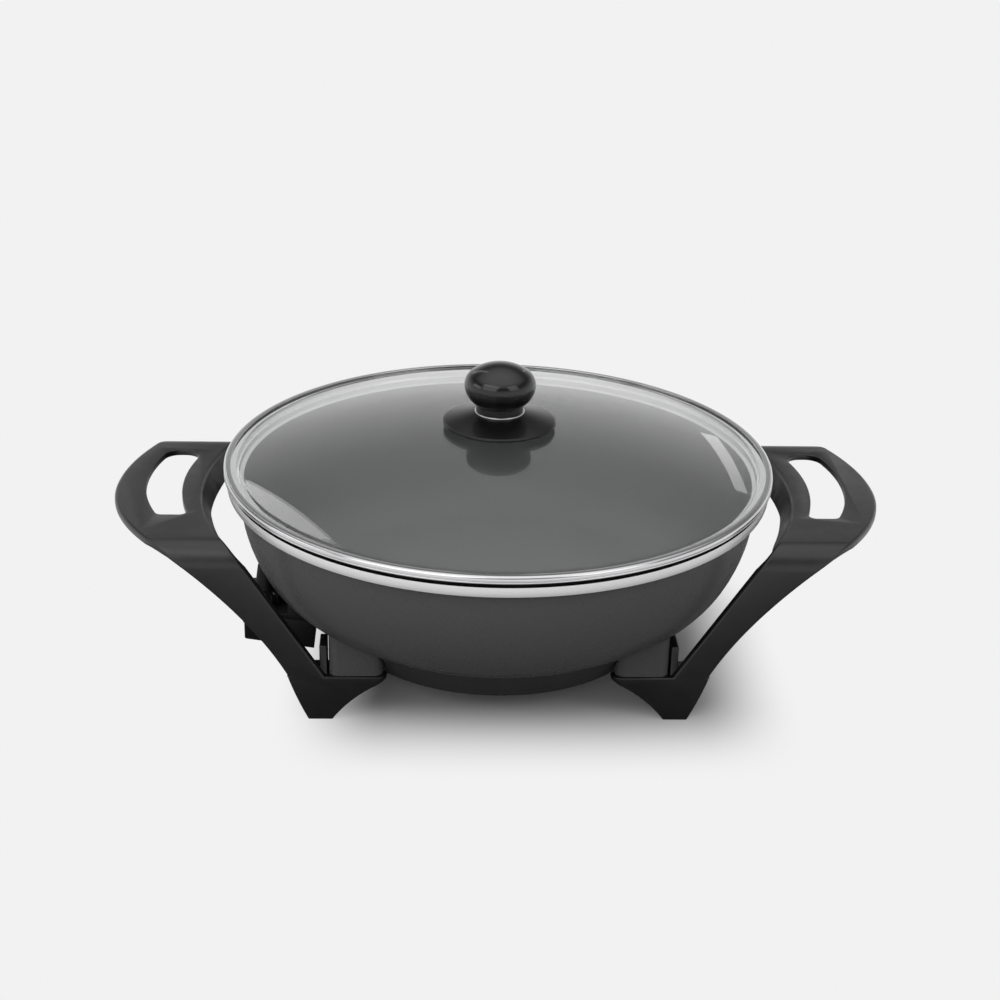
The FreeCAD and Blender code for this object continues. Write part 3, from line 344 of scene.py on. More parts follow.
def pressed_black(name, roughness, specular):
    finish = Finish(name, (0.006, 0.006, 0.006), roughness, Specular_IOR_Level=specular)
    gloss = finish.noise(scale=60, detail=3)
    finish.dress("Roughness", finish.drift(gloss, roughness - 0.03, roughness + 0.04))
    finish.bump(finish.noise(scale=1600), strength=0.03, distance=0.05 * MM)
    return finish.material


knob_black = pressed_black("knob_black", 0.15, specular=0.60)
plate_black = pressed_black("plate_black", 0.22, specular=0.36)
print("plastics:", [made.name for made in (leg_plastic, control_plastic, knob_black, plate_black)])

# %% [markdown]
# ### The bowl's coating
# The casting is sprayed with a dark grey non-stick coat that carries fine lighter flecks and a
# faint orange peel, a lighter and duller one inside than outside. The flecks are the few highest
# values of a very fine noise. Specks of geometry could do the same, but they are smaller than
# anything that a mesh should hold.

# %% Sprayed coats
FLECKS_BEGIN, FLECKS_FULL = 0.62, 0.80


def sprayed_coat(name, colour, fleck, roughness, specular):
    finish = Finish(name, colour, roughness, Specular_IOR_Level=specular)
    fine = finish.noise(scale=1500, detail=1, roughness=0.4)
    flecks = map_range(finish.tree, fine, 0, 1, FLECKS_BEGIN, FLECKS_FULL)
    finish.dress("Base Color", finish.blend_colours(flecks, shade(colour), shade(fleck)))
    cloud = finish.drift(finish.noise(scale=14, detail=3), 0.9, 1.1)
    peel = finish.drift(finish.noise(scale=160), roughness - 0.015, roughness + 0.02)
    finish.dress("Roughness", finish.math("MULTIPLY", peel, cloud))
    finish.bump(finish.noise(scale=1400), strength=0.03, distance=0.03 * MM)
    return finish.material


outer_coat = sprayed_coat("outer_coat", (0.112, 0.1125, 0.114), fleck=(0.148, 0.149, 0.152),
                          roughness=0.27, specular=0.15)
inner_coat = sprayed_coat("inner_coat", (0.135, 0.136, 0.138), fleck=(0.20, 0.20, 0.205),
                          roughness=0.42, specular=0.30)
print("coats:", outer_coat.name, inner_coat.name)

# %% [markdown]
# ### Glass and metals
# The lid is clear tempered glass with a trace of green. Its rim is a rolled band of stainless
# steel, polished along its length, so its grain runs round the lid: a noise that reads the radius
# and the height, and not the angle. An anisotropic shader could draw the streaks too, but this one
# also carries a bump. The bowl's rim band and its seat for the lid are bare turned aluminium with
# the rings that the tool leaves, and the same recipe makes them. Inside the fold under the rim's
# bead the steel is painted nearly black and not metallic: this is painted shade, for the shadow in
# the gap between the lid and the bowl.

# %% Glass and metals
RING_SCALE = 900.0
# Where the rim's steel gets painted shade: outside this radius and below this height.
FOLD_RADIUS, FOLD_HEIGHT = 162.35 * MM, 133.04 * MM


def clear_glass(name, tint, roughness):
    """Glass whose tint drifts a little, as poured glass does."""
    finish = Finish(name, tint, roughness, IOR=1.5, Transmission_Weight=1.0)
    finish.dress("Base Color", finish.blend_colours(finish.noise(scale=9), shade(tint),
                                                    shade(tint, 1.015)))
    return finish.material


def polished_steel(name, colour, roughness, grain=0.2, metallic=1.0, painted_shade_fold=None):
    """Metal with rings of grain; a fold given by its radius and height gets painted shade."""
    finish = Finish(name, colour, roughness, Metallic=metallic)
    z = finish.parts_of_place()[2]
    # Painted shade: the fold is coloured near-black and not metallic, for the shadow in the gap.
    if painted_shade_fold:
        painted_fold_shade = finish.math("MULTIPLY", finish.math("GREATER_THAN", finish.radius(), painted_shade_fold[0]),
                              finish.math("LESS_THAN", z, painted_shade_fold[1]))
        finish.dress("Base Color", finish.blend_colours(painted_fold_shade, shade(colour),
                                                        (0.03, 0.03, 0.03, 1)))
        finish.dress("Metallic", finish.math("SUBTRACT", 1.0, painted_fold_shade))
    rings = finish.add("ShaderNodeCombineXYZ",
                       X=finish.math("MULTIPLY", finish.radius(), RING_SCALE),
                       Y=finish.math("MULTIPLY", z, RING_SCALE))
    lines = finish.add("ShaderNodeTexNoise", Vector=rings.outputs[0], Scale=2.0,
                       Detail=2.0).outputs["Fac"]
    finish.dress("Roughness", finish.drift(lines, roughness * 0.75, roughness * 1.3))
    finish.bump(lines, strength=grain, distance=0.02 * MM)
    return finish.material


def dull_metal(name, colour, roughness):
    finish = Finish(name, colour, roughness, Metallic=1.0)
    gloss = finish.noise(scale=220, detail=3)
    finish.dress("Roughness", finish.drift(gloss, roughness - 0.08, roughness + 0.1))
    finish.bump(finish.noise(scale=700), strength=0.15, distance=0.05 * MM)
    return finish.material


lid_glass_clear = clear_glass("lid_glass_clear", (0.962, 0.972, 0.967), roughness=0.0)
lamp_glass = clear_glass("lamp_glass", (0.95, 0.9, 0.85), roughness=0.05)
# The rim's steel, with painted shade in the fold under its bead.
rim_steel = polished_steel("rim_steel", (0.72, 0.72, 0.73), 0.17, painted_shade_fold=(FOLD_RADIUS, FOLD_HEIGHT))
turned_aluminium = polished_steel("turned_aluminium", (0.92, 0.92, 0.92), 0.46, grain=0.3,
                                  metallic=0.55)
polished_edge = polished_steel("polished_edge", (0.77, 0.77, 0.77), 0.22)
trim_steel = polished_steel("trim_steel", (0.78, 0.78, 0.79), 0.14)
element_steel = dull_metal("element_steel", (0.34, 0.33, 0.32), 0.42)
plated_steel = dull_metal("plated_steel", (0.60, 0.60, 0.61), 0.32)
brass = dull_metal("brass", (0.70, 0.49, 0.22), 0.34)
print("glass and metals made:", len(bpy.data.materials), "materials so far")

# %% [markdown]
# ### Small finishes
# The cover below is sheet steel in a dull black paint. The bushes on the terminals are glazed
# ceramic, the seals are rubber, the block that holds the contacts is brown phenolic, and the pilot
# lens is red plastic that lets light through. One recipe serves them all, because each is one
# colour that drifts a little over a fine grain.

# %% Paint, ceramic, rubber, phenolic and lens
def plain_body(name, colour, roughness, spread, grain_scale, grain, **sockets):
    """One colour that drifts by its spread, over a grain."""
    finish = Finish(name, colour, roughness, **sockets)
    finish.dress("Base Color", finish.blend_colours(
        finish.noise(scale=45, detail=3), shade(colour, 1 - spread), shade(colour, 1 + spread)))
    finish.bump(finish.noise(scale=grain_scale), strength=grain, distance=0.1 * MM)
    return finish.material


cover_paint = plain_body("cover_paint", (0.040, 0.040, 0.041), 0.5, spread=0.2,
                         grain_scale=800, grain=0.2)
glazed_ceramic = plain_body("glazed_ceramic", (0.78, 0.76, 0.70), 0.25, spread=0.04,
                            grain_scale=300, grain=0.05)
seal_rubber = plain_body("seal_rubber", (0.025, 0.025, 0.026), 0.7, spread=0.15,
                         grain_scale=1200, grain=0.2)
brown_phenolic = plain_body("brown_phenolic", (0.09, 0.04, 0.022), 0.45, spread=0.2,
                            grain_scale=600, grain=0.15)
red_lens = plain_body("red_lens", (0.55, 0.02, 0.015), 0.12, spread=0.1,
                      grain_scale=200, grain=0.02, Transmission_Weight=0.6, IOR=1.5)

# %% Which node has which finish
FINISHES = {
    "bowl": outer_coat, "base_cover": cover_paint, "base_cover_screws": plated_steel,
    "handle_leg_right": leg_plastic, "handle_leg_left": leg_plastic,
    "leg_screws_left": plated_steel, "leg_screws_right": plated_steel,
    "heating_element": element_steel, "terminal_pins": plated_steel,
    "pin_insulators": glazed_ceramic, "sensor_sleeve": plated_steel, "pin_guard": plated_steel,
    "control_housing_lower": control_plastic, "control_housing_upper": control_plastic,
    "control_screws": plated_steel, "sensor_rod": element_steel, "contact_sleeves": brass,
    "contact_block": brown_phenolic, "thermostat_frame": plated_steel, "bimetal_blade": brass,
    "contact_arm": brass, "dial_spindle": plated_steel, "temperature_dial": control_plastic,
    "pilot_lens": red_lens, "pilot_lamp": lamp_glass, "cord_gland": seal_rubber,
    "lid_glass": lid_glass_clear, "lid_rim": rim_steel, "knob_gasket": seal_rubber,
    "knob_skirt": plate_black, "knob_trim_ring": trim_steel, "lid_knob": knob_black,
    "knob_insert": brass, "under_gasket": seal_rubber, "knob_washer": plated_steel,
    "knob_screw": plated_steel,
}


def give(piece, *materials):
    """Clear a piece's materials and give it these, in this order."""
    piece.data.materials.clear()
    for material in materials:
        piece.data.materials.append(material)


for node, material in FINISHES.items():
    for slot in frame["nodes"][node].material_slots:
        slot.material = material
print("finishes on", len(FINISHES), "nodes")

# %% [markdown]
# ## Pieces cast and moulded in one
# The bowl and the mouldings have their shape in the imported model already, as loose triangles with
# sharp corners. A real casting or moulding has eased edges that catch a thin line of light. A bevel
# in the shader would fake that line; here the edges are really eased, so the mesh has them too.
# Each piece gets a copy of its own: the triangles are joined, flat ones become whole faces, the
# sharp edges are found by their angle and bevelled, and the copy then stands for the imported
# piece.


def stand_for(piece, node, *materials):
    """Dress a piece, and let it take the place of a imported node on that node's body."""
    give(piece, *(materials or [FINISHES[node]]))
    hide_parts(node)
    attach(piece, frame["nodes"][node]["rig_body"])


def volume(piece):
    """Cubic centimetres inside a closed mesh."""
    total = 0
    piece.data.calc_loop_triangles()
    for triangle in piece.data.loop_triangles:
        a, b, c = (piece.data.vertices[i].co for i in triangle.vertices)
        total += a.dot(b.cross(c)) / 6
    return total / (10 * MM) ** 3


# %% [markdown]
# ### Corners that fly off
# Where two sharp edges meet at a narrow angle, a bevel can throw a corner far out. Clamping the
# bevel would stop that, but it would also make every other edge thinner. So such corners are found
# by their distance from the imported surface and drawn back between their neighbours.

# %% Drawing corners back
def draw_back(piece, node, limit):
    """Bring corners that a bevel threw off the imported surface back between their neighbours."""
    packed = frame["nodes"][node].data
    skin = BVHTree.FromPolygons([point.co for point in packed.vertices],
                                [tuple(face.vertices) for face in packed.polygons])
    points = piece.data.vertices
    stray = {point.index for point in points if skin.find_nearest(point.co)[3] > limit}
    count = len(stray)
    near = {index: [] for index in stray}
    for edge in piece.data.edges:
        for one, other in (edge.vertices, reversed(edge.vertices)):
            if one in near:
                near[one].append(other)
    while stray:
        moves = {}
        for index in stray:
            steady = [points[other].co for other in near[index] if other not in stray]
            if steady:
                moves[index] = sum(steady, Vector()) / len(steady)
        if not moves:
            break
        for index, place in moves.items():
            points[index].co = place
        stray -= set(moves)
    return count


# %% A copy with eased edges
FLAT_DEGREES, SMOOTH_DEGREES = 0.15, 38
STRAY_SHARE = 0.75


def eased_copy(node, name, width, corner=32, segments=2):
    """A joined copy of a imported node, bevelled where it turns by more than the corner angle."""
    take(frame["nodes"][node])
    bpy.ops.object.duplicate()
    piece = bpy.context.object
    piece.name = name
    bpy.ops.object.parent_clear(type="CLEAR")
    # The copy carries the frame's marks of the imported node, which aren't its own.
    for key in list(piece.keys()):
        del piece[key]
    settle(piece)
    bpy.ops.mesh.customdata_custom_splitnormals_clear()
    before = volume(piece)
    bpy.ops.object.mode_set(mode="EDIT")
    bpy.ops.mesh.select_all(action="SELECT")
    bpy.ops.mesh.remove_doubles(threshold=2 * JOIN)
    bpy.ops.mesh.select_all(action="SELECT")
    bpy.ops.mesh.dissolve_limited(angle_limit=math.radians(FLAT_DEGREES))
    bpy.ops.mesh.select_all(action="DESELECT")
    bpy.ops.mesh.select_mode(type="EDGE")
    bpy.ops.mesh.edges_select_sharp(sharpness=math.radians(corner))
    bpy.ops.mesh.bevel(offset=width, segments=segments, affect="EDGES", clamp_overlap=False)
    bpy.ops.mesh.select_mode(type="VERT")
    bpy.ops.object.mode_set(mode="OBJECT")
    strays = draw_back(piece, node, STRAY_SHARE * width)
    smooth(piece, SMOOTH_DEGREES)
    print(name, len(piece.data.polygons), "faces,", round(before, 2), "to",
          round(volume(piece), 2), "cm3,", strays, "corners drawn back")
    return piece


# %% [markdown]
# ### The bowl
# Its rim band, the seat for the lid and the edges of the lugs are eased by less than half a
# millimetre. Its faces then take one of four finishes by their place: turned metal on the outside
# of the rim band and on the seat for the lid, polished metal on the rim's flat top, the inner coat
# on what lies within the line of the outer side, and the outer coat on the rest. One material that
# reads its place could do the same; materials by face keep the borders exactly on the edges.

# %% The bowl's edges and its outer line
OUTER, INNER, TURNED, POLISHED = range(4)
band_radius, _, rim_top = reach("bowl")
cast_bowl = eased_copy("bowl", "cast_bowl", 0.4 * MM)
stand_for(cast_bowl, "bowl", outer_coat, inner_coat, turned_aluminium, polished_edge)

BASE_EDGE, SHOULDER = (116 * MM, 46.5 * MM), (149.5 * MM, 75.5 * MM)
MOUTH = (160.5 * MM, rim_top - 6 * MM)
BELLY_RADIUS, SIDE_RADIUS = 62 * MM, 95 * MM
outer_line = (arc(BASE_EDGE, SHOULDER, BELLY_RADIUS, 10)
              + arc(SHOULDER, MOUTH, SIDE_RADIUS, 10)[1:])


def outer_radius(level):
    """Radius of the casting's outer side at a height."""
    for (near, low), (far, high) in zip(outer_line, outer_line[1:]):
        if level <= high:
            return near + (far - near) * max(level - low, 0) / (high - low)
    return outer_line[-1][0]


# %% Four finishes on the bowl
BAND_HEIGHT, BARE_WIDTH = 6.5 * MM, 11.2 * MM
EDGE_DEPTH = 0.6 * MM
INSIDE_FLOOR = 46.8 * MM
WITHIN = 1.2 * MM
LOOKS_UP = 0.7

for face in cast_bowl.data.polygons:
    corners = [cast_bowl.data.vertices[index].co for index in face.vertices]
    place = face.center
    lowest = min(corner.z for corner in corners)
    if lowest > rim_top - EDGE_DEPTH and face.normal.z > LOOKS_UP:
        face.material_index = POLISHED
    elif (lowest > rim_top - BAND_HEIGHT
            and min(corner.xy.length for corner in corners) > band_radius - BARE_WIDTH):
        face.material_index = TURNED
    elif place.z > INSIDE_FLOOR and place.xy.length < outer_radius(place.z) - WITHIN:
        face.material_index = INNER
print("faces of each finish:", [sum(face.material_index == number
                                    for face in cast_bowl.data.polygons)
                                for number in (OUTER, INNER, TURNED, POLISHED)])

# %% [markdown]
# ### Legs, cover and control
# The handle legs are thick mouldings, so their edges are eased by more than half a millimetre. The
# cover under the bowl is sheet steel with a rolled edge. The two halves of the control's housing
# meet in a fine seam, which shows once both of its edges are eased.

# %% Eased mouldings and sheet
for side in ("left", "right"):
    stand_for(eased_copy(f"handle_leg_{side}", f"leg_moulding_{side}", 0.6 * MM, segments=3),
              f"handle_leg_{side}")
stand_for(eased_copy("base_cover", "pressed_cover", 0.35 * MM), "base_cover")
stand_for(eased_copy("pin_guard", "guard_channel", 0.3 * MM), "pin_guard")
for half in ("lower", "upper"):
    stand_for(eased_copy(f"control_housing_{half}", f"housing_{half}", 0.35 * MM),
              f"control_housing_{half}")

# %% [markdown]
# ### Screws with a cross recess
# The screws under the bowl, the feet and the control are pan heads with a cross recess. The recess
# could be pushed in by hand in every head. A cutter is quicker: it is made of two tapered bars, and
# a boolean takes it out of each head. Each screw is one loose part of its node, and its head is at
# the end that looks down.

# %% A cutter for the recess
BAR_WIDTH = 0.26
TAPER = 0.62


def cross_cutter(size, depth):
    """Two crossed bars, narrower at the top, centred on the origin."""
    bars = []
    for turned in (False, True):
        select_nothing()
        bpy.ops.mesh.primitive_cube_add(size=1)
        bar = bpy.context.object
        bpy.ops.object.mode_set(mode="EDIT")
        long, short = size, size * BAR_WIDTH
        bpy.ops.transform.resize(value=(short if turned else long, long if turned else short,
                                        2 * depth))
        bpy.ops.object.mode_set(mode="OBJECT")
        for vertex in bar.data.vertices:
            vertex.select = vertex.co.z > 0
        for edge in bar.data.edges:
            edge.select = all(bar.data.vertices[i].select for i in edge.vertices)
        for face in bar.data.polygons:
            face.select = all(bar.data.vertices[i].select for i in face.vertices)
        bpy.ops.object.mode_set(mode="EDIT")
        bpy.ops.transform.resize(value=(TAPER, TAPER, 1))
        bpy.ops.object.mode_set(mode="OBJECT")
        bars.append(bar)
    union = bars[0].modifiers.new("union", "BOOLEAN")
    union.operation, union.solver, union.object = "UNION", "EXACT", bars[1]
    take(bars[0])
    bpy.ops.object.modifier_apply(modifier="union")
    take(bars[1])
    bpy.ops.object.delete()
    return bars[0]


# %% Finding the heads
def heads_of(piece):
    """Centre and radius of the lower end of each loose part of a mesh."""
    links = {vertex.index: [] for vertex in piece.data.vertices}
    for edge in piece.data.edges:
        links[edge.vertices[0]].append(edge.vertices[1])
        links[edge.vertices[1]].append(edge.vertices[0])
    seen, found = set(), []
    for start in links:
        if start in seen:
            continue
        group, waiting = [], [start]
        seen.add(start)
        while waiting:
            index = waiting.pop()
            group.append(piece.data.vertices[index].co)
            for other in links[index]:
                if other not in seen:
                    seen.add(other)
                    waiting.append(other)
        xs, ys = [p.x for p in group], [p.y for p in group]
        found.append((Vector(((min(xs) + max(xs)) / 2, (min(ys) + max(ys)) / 2,
                              min(p.z for p in group))), (max(xs) - min(xs)) / 2))
    return found


# %% Cutting the recesses
RECESS_SIZE, RECESS_DEPTH = 1.15, 0.42


def recessed_screws(node, name):
    """Ease the screws of a node and cut a recess, sized by the head's radius, into each."""
    screws = eased_copy(node, name, 0.15 * MM, corner=50)
    for head, radius in heads_of(screws):
        cutter = cross_cutter(radius * RECESS_SIZE, radius * RECESS_DEPTH)
        cutter.location = head
        settle(cutter)
        cut = screws.modifiers.new("recess", "BOOLEAN")
        cut.operation, cut.solver, cut.object = "DIFFERENCE", "EXACT", cutter
        take(screws)
        bpy.ops.object.modifier_apply(modifier="recess")
        take(cutter)
        bpy.ops.object.delete()
    smooth(screws, SMOOTH_DEGREES)
    stand_for(screws, node)
    print(name, "has", len(heads_of(screws)), "screws and", len(screws.data.polygons), "faces")


recessed_screws("base_cover_screws", "cover_screws")
recessed_screws("leg_screws_left", "screws_left")
recessed_screws("leg_screws_right", "screws_right")
recessed_screws("control_screws", "housing_screws")

# %% [markdown]
# ### The dial
# The dial is a fluted disc with a tapered grip. Plain numbers and a white pointer are printed flat
# on the disc's face. A texture could carry them, but a mesh as thin as a coat of paint stays sharp
# and needs no file. A text object gives each number, and it becomes a mesh before it takes its
# place.

# %% Dial and its numbers
white_print = plain_body("white_print", (0.62, 0.62, 0.60), 0.5, spread=0.05, grain_scale=900,
                         grain=0.05)
stand_for(eased_copy("temperature_dial", "fluted_dial", 0.2 * MM), "temperature_dial")
dial_low, dial_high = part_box("temperature_dial")
dial_x = (dial_low.x + dial_high.x) / 2
DIAL_DISC = 6.6 * MM
dial_face = dial_low.z + DIAL_DISC
PRINT, SUNK = 0.05 * MM, 0.01 * MM
print_level = dial_face + PRINT / 2 - SUNK
NUMBER_SIZE, NUMBER_RADIUS = 3.0 * MM, 11.2 * MM
NUMBER_STEP = 30


def printed(piece, node):
    """Dress a printed mark and let it ride with a node."""
    give(piece, white_print)
    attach(piece, frame["nodes"][node]["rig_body"])


numbers = []
for count in range(1, 10):
    select_nothing()
    bpy.ops.object.text_add()
    figure = bpy.context.object
    figure.data.body = str(count)
    figure.data.size = NUMBER_SIZE
    figure.data.align_x, figure.data.align_y = "CENTER", "CENTER"
    figure.data.extrude = PRINT / 2
    figure.data.resolution_u = 3
    bpy.ops.object.convert(target="MESH")
    angle = math.radians(180 - NUMBER_STEP * (count + 1))
    figure.location = (dial_x + NUMBER_RADIUS * math.cos(angle), NUMBER_RADIUS * math.sin(angle),
                       print_level)
    figure.rotation_euler = (0, 0, angle - math.pi / 2)
    settle(figure)
    numbers.append(figure)
select_nothing()
for figure in numbers:
    figure.select_set(True)
bpy.context.view_layer.objects.active = numbers[0]
bpy.ops.object.join()
dial_numbers = bpy.context.object
dial_numbers.name = "dial_numbers"
settle(dial_numbers)
printed(dial_numbers, "temperature_dial")
print("dial face at", round(dial_face / MM, 2), "mm with", len(numbers), "numbers")

# %% Pointer
POINTER_LENGTH, POINTER_WIDTH = 5.0 * MM, 0.9 * MM
select_nothing()
bpy.ops.mesh.primitive_cube_add(size=1)
dial_pointer = bpy.context.object
dial_pointer.name = "dial_pointer"
bpy.ops.object.mode_set(mode="EDIT")
bpy.ops.transform.resize(value=(POINTER_LENGTH, POINTER_WIDTH, PRINT))
bpy.ops.mesh.bevel(offset=0.02 * MM, segments=1, affect="EDGES")
bpy.ops.object.mode_set(mode="OBJECT")
dial_pointer.location = (dial_x - NUMBER_RADIUS, 0, print_level)
settle(dial_pointer)
printed(dial_pointer, "temperature_dial")
print("pointer:", len(dial_pointer.data.polygons), "faces")

# %% [markdown]
# ## The lid
# A tempered lid is pressed from a disc: a shallow dome with a flat flange round it, the edge ground
# round, and a hole in the middle for the knob's screw. A slice of a sphere would give the dome
# alone. Turned from its section, the dome, the bend into the flange and the edge are one skin.

# %% Glass dome
glass_radius, glass_low, glass_top = reach("lid_glass")
GLASS_THICKNESS = 3 * MM
STEM_HOLE = 4 * MM
FLANGE_START = 162 * MM
BEND = 12 * MM
EDGE_GAP = 0.4 * MM
dome_rise = glass_top - glass_low - GLASS_THICKNESS
dome_radius = (FLANGE_START ** 2 + dome_rise ** 2) / (2 * dome_rise)


def dome_height(radius):
    """Rise of the dome above its flange at a distance from the axis."""
    return math.sqrt(dome_radius ** 2 - radius ** 2) - (dome_radius - dome_rise)


def dome_line(level, count=36):
    """Corners along one face of the dome, from the hole to just before the flange."""
    radii = [STEM_HOLE + (FLANGE_START - STEM_HOLE) * step / count for step in range(count)]
    return [(radius, level + dome_height(radius), 0) for radius in radii]


glass_high = glass_low + GLASS_THICKNESS
edge_radius = glass_radius - EDGE_GAP
glass_dome = lathe("glass_dome", rounded(
    dome_line(glass_low) + [(FLANGE_START, glass_low, BEND), (edge_radius, glass_low, 0.8 * MM),
                            (edge_radius, glass_high, 1.5 * MM), (FLANGE_START, glass_high, BEND)]
    + dome_line(glass_high)[::-1]), steps=192)
give(glass_dome, lid_glass_clear)
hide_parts("lid_glass")
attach(glass_dome, "lid")

# %% [markdown]
# ### The rolled rim
# The steel rim is rolled over the flange. It has a bead along its foot, a fine groove above the
# bead, and a short skirt that stands on the bowl. Extruding a ring piece by piece could make it,
# but all of these lie in the section, so it is turned like the glass.

# %% Rolled steel rim
rim_radius, rim_low, rim_high = reach("lid_rim")
RIM_WALL = 0.65 * MM
RIM_LIP = 4.5 * MM
PLAY = 0.06 * MM
skirt_radius = FLANGE_START + RIM_WALL
lip_radius = rim_radius - RIM_LIP
channel_radius = rim_radius - 1.2 * MM
groove_radius = rim_radius - 0.6 * MM
bead_low = glass_low - 0.7 * MM
bead_high = bead_low + 1.1 * MM
steel_rim = lathe("steel_rim", rounded([
    (FLANGE_START, rim_low, 0.3 * MM), (skirt_radius, rim_low, 0.3 * MM),
    (skirt_radius, bead_low, 0), (rim_radius, bead_low, 0.5 * MM),
    (rim_radius, bead_high, 0.4 * MM), (groove_radius, bead_high + 0.2 * MM, 0.1 * MM),
    (groove_radius, bead_high + 0.6 * MM, 0.1 * MM), (rim_radius, bead_high + 0.8 * MM, 0.3 * MM),
    (rim_radius, rim_high, 2.0 * MM), (lip_radius, rim_high, 0.3 * MM),
    (lip_radius, rim_high - RIM_WALL, 0), (channel_radius, rim_high - RIM_WALL, 1.2 * MM),
    (channel_radius, glass_low - PLAY, 0.3 * MM), (FLANGE_START, glass_low - PLAY, 0)]), steps=192)
give(steel_rim, rim_steel)
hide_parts("lid_rim")
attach(steel_rim, "lid")

# %% [markdown]
# ### Knob
# The knob is a ball flattened on top that runs into a short neck. A scaled sphere would not have
# the neck or the flatter crown, so its section is drawn as three arcs that meet: one from the neck
# to the widest place, one on to the shoulder, and the crown.

# %% Knob
knob_low, knob_top = reach("lid_knob")[1:]
NECK_RADIUS, NECK_HEIGHT, NECK_EDGE = 14.6 * MM, 4.4 * MM, 0.6 * MM
BALL_RADIUS, BALL_LEVEL = 22 * MM, knob_low + 16.9 * MM
SHOULDER_RADIUS, SHOULDER_RISE = 18.3 * MM, 7.3 * MM
NECK_ARC, SHOULDER_ARC = 14.2 * MM, 9 * MM
crown_rise = knob_top - BALL_LEVEL - SHOULDER_RISE
crown_radius = (SHOULDER_RADIUS ** 2 + crown_rise ** 2) / (2 * crown_rise)
neck_top = (NECK_RADIUS, knob_low + NECK_HEIGHT)
widest = (BALL_RADIUS, BALL_LEVEL)
shoulder = (SHOULDER_RADIUS, BALL_LEVEL + SHOULDER_RISE)
knob_line = ([(0, knob_low), (NECK_RADIUS - NECK_EDGE, knob_low),
              (NECK_RADIUS, knob_low + NECK_EDGE)]
             + arc(neck_top, widest, NECK_ARC, 12) + arc(widest, shoulder, SHOULDER_ARC, 8)[1:]
             + arc(shoulder, (0, knob_top), crown_radius, 10)[1:])
knob_ball = lathe("knob_ball", knob_line, steps=96)
smooth(knob_ball, angle=60)
give(knob_ball, knob_black)
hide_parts("lid_knob")
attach(knob_ball, "lid")

# %% [markdown]
# ### Plate and ring under the knob
# A wide sloping plate hides the screw's gasket, and a narrow silver ring lies between it and the
# knob. Pressed pieces have no sharp corners, so every corner of their sections is rounded. The
# plate is hollow below, where it clears the gasket.

# %% Plate and ring
plate_radius, plate_low, plate_top = reach("knob_skirt")
HUB_RADIUS, PLATE_WALL = 15 * MM, 2.2 * MM
PLATE_BORE, RING_BORE = 2.2 * MM, 4 * MM
hollow_radius = reach("knob_gasket")[0] + 0.5 * MM
hollow_low = plate_low + 0.1 * MM
knob_plate = lathe("knob_plate", rounded([
    (PLATE_BORE, hollow_low, 0), (hollow_radius, hollow_low, 0),
    (hollow_radius, plate_top - PLATE_WALL - 0.6 * MM, 0.4 * MM),
    (plate_radius - 1 * MM, plate_low, 0.3 * MM), (plate_radius, plate_low + 0.4 * MM, 0.3 * MM),
    (plate_radius, plate_low + 1.6 * MM, 0.5 * MM),
    (plate_radius - 1.2 * MM, plate_low + 2.1 * MM, 0.6 * MM),
    (HUB_RADIUS, plate_top, 1.2 * MM), (PLATE_BORE, plate_top, 0)]), steps=128)
give(knob_plate, plate_black)
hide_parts("knob_skirt")
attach(knob_plate, "lid")

ring_radius, ring_low, ring_top = reach("knob_trim_ring")
silver_ring = lathe("silver_ring", rounded([
    (RING_BORE, ring_low, 0), (ring_radius, ring_low, 0.3 * MM),
    (ring_radius, ring_top, 0.3 * MM), (RING_BORE, ring_top, 0)]), steps=96)
give(silver_ring, trim_steel)
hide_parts("knob_trim_ring")
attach(silver_ring, "lid")

# %% [markdown]
# ## Floor and light
# The table is a wide pale plane that keeps the wok's shadow close by and turns into the even
# background further out, so no edge or horizon shows. A curved backdrop could hide the horizon
# too, but its far side would be lit unevenly. A Light Path node tells the material what kind of ray
# has met it: the camera, a mirror and glass see the even background, and light that bounces finds a
# darker floor, so that the wok isn't lit from below.

# %% What the camera, mirrors and glass see
BACKGROUND = 0.887


def seen_directly(tree):
    """A socket that is 1 for camera, glossy and transmission rays."""
    paths = tree.nodes.new("ShaderNodeLightPath")
    result = paths.outputs["Is Camera Ray"]
    for ray in ("Is Glossy Ray", "Is Transmission Ray"):
        larger = tree.nodes.new("ShaderNodeMath")
        larger.operation = "MAXIMUM"
        tree.links.new(result, larger.inputs[0])
        tree.links.new(paths.outputs[ray], larger.inputs[1])
        result = larger.outputs[0]
    return result


def grey(level):
    return (level, level, level, 1)


# %% Table top
TABLE_SIZE = 16
select_nothing()
bpy.ops.mesh.primitive_plane_add(size=TABLE_SIZE)
table = bpy.context.object
table.name = "table_top"
bpy.ops.object.mode_set(mode="EDIT")
bpy.ops.mesh.subdivide(number_cuts=3)
bpy.ops.object.mode_set(mode="OBJECT")
pale = Finish("pale_table", (0.86, 0.86, 0.86), 0.6, Specular_IOR_Level=0.1)
print("table:", len(table.data.polygons), "faces,", TABLE_SIZE, "m wide")

# %% [markdown]
# ### Where the shadow ends
# The shadow is kept within a soft rectangle under the wok, where the table's colour is painted a
# darker grey: painted shadow on top of the rendered one. In mirrors, such as the steel rim and the
# bowl's coat, the table is painted darker still within a soft circle: painted shade, because a wok
# on a real table mirrors its own shade there.

# %% What each ray finds on the table
SHADOW_CENTRE = 0.025
SHADOW_X, SHADOW_Y = (0.095, 0.165), (0.062, 0.160)
MIRROR_SHADE = (0.29, 0.41)
# The near grey is painted shadow: the table's colour under the wok.
PAINTED_SHADOW_GREY, FAR_GREY = 0.53, 0.86
# The mirrored grey is painted shade: the table's colour as mirrors see it near the wok.
PAINTED_MIRROR_SHADE_GREY, BOUNCED_GREY = 0.24, 0.15


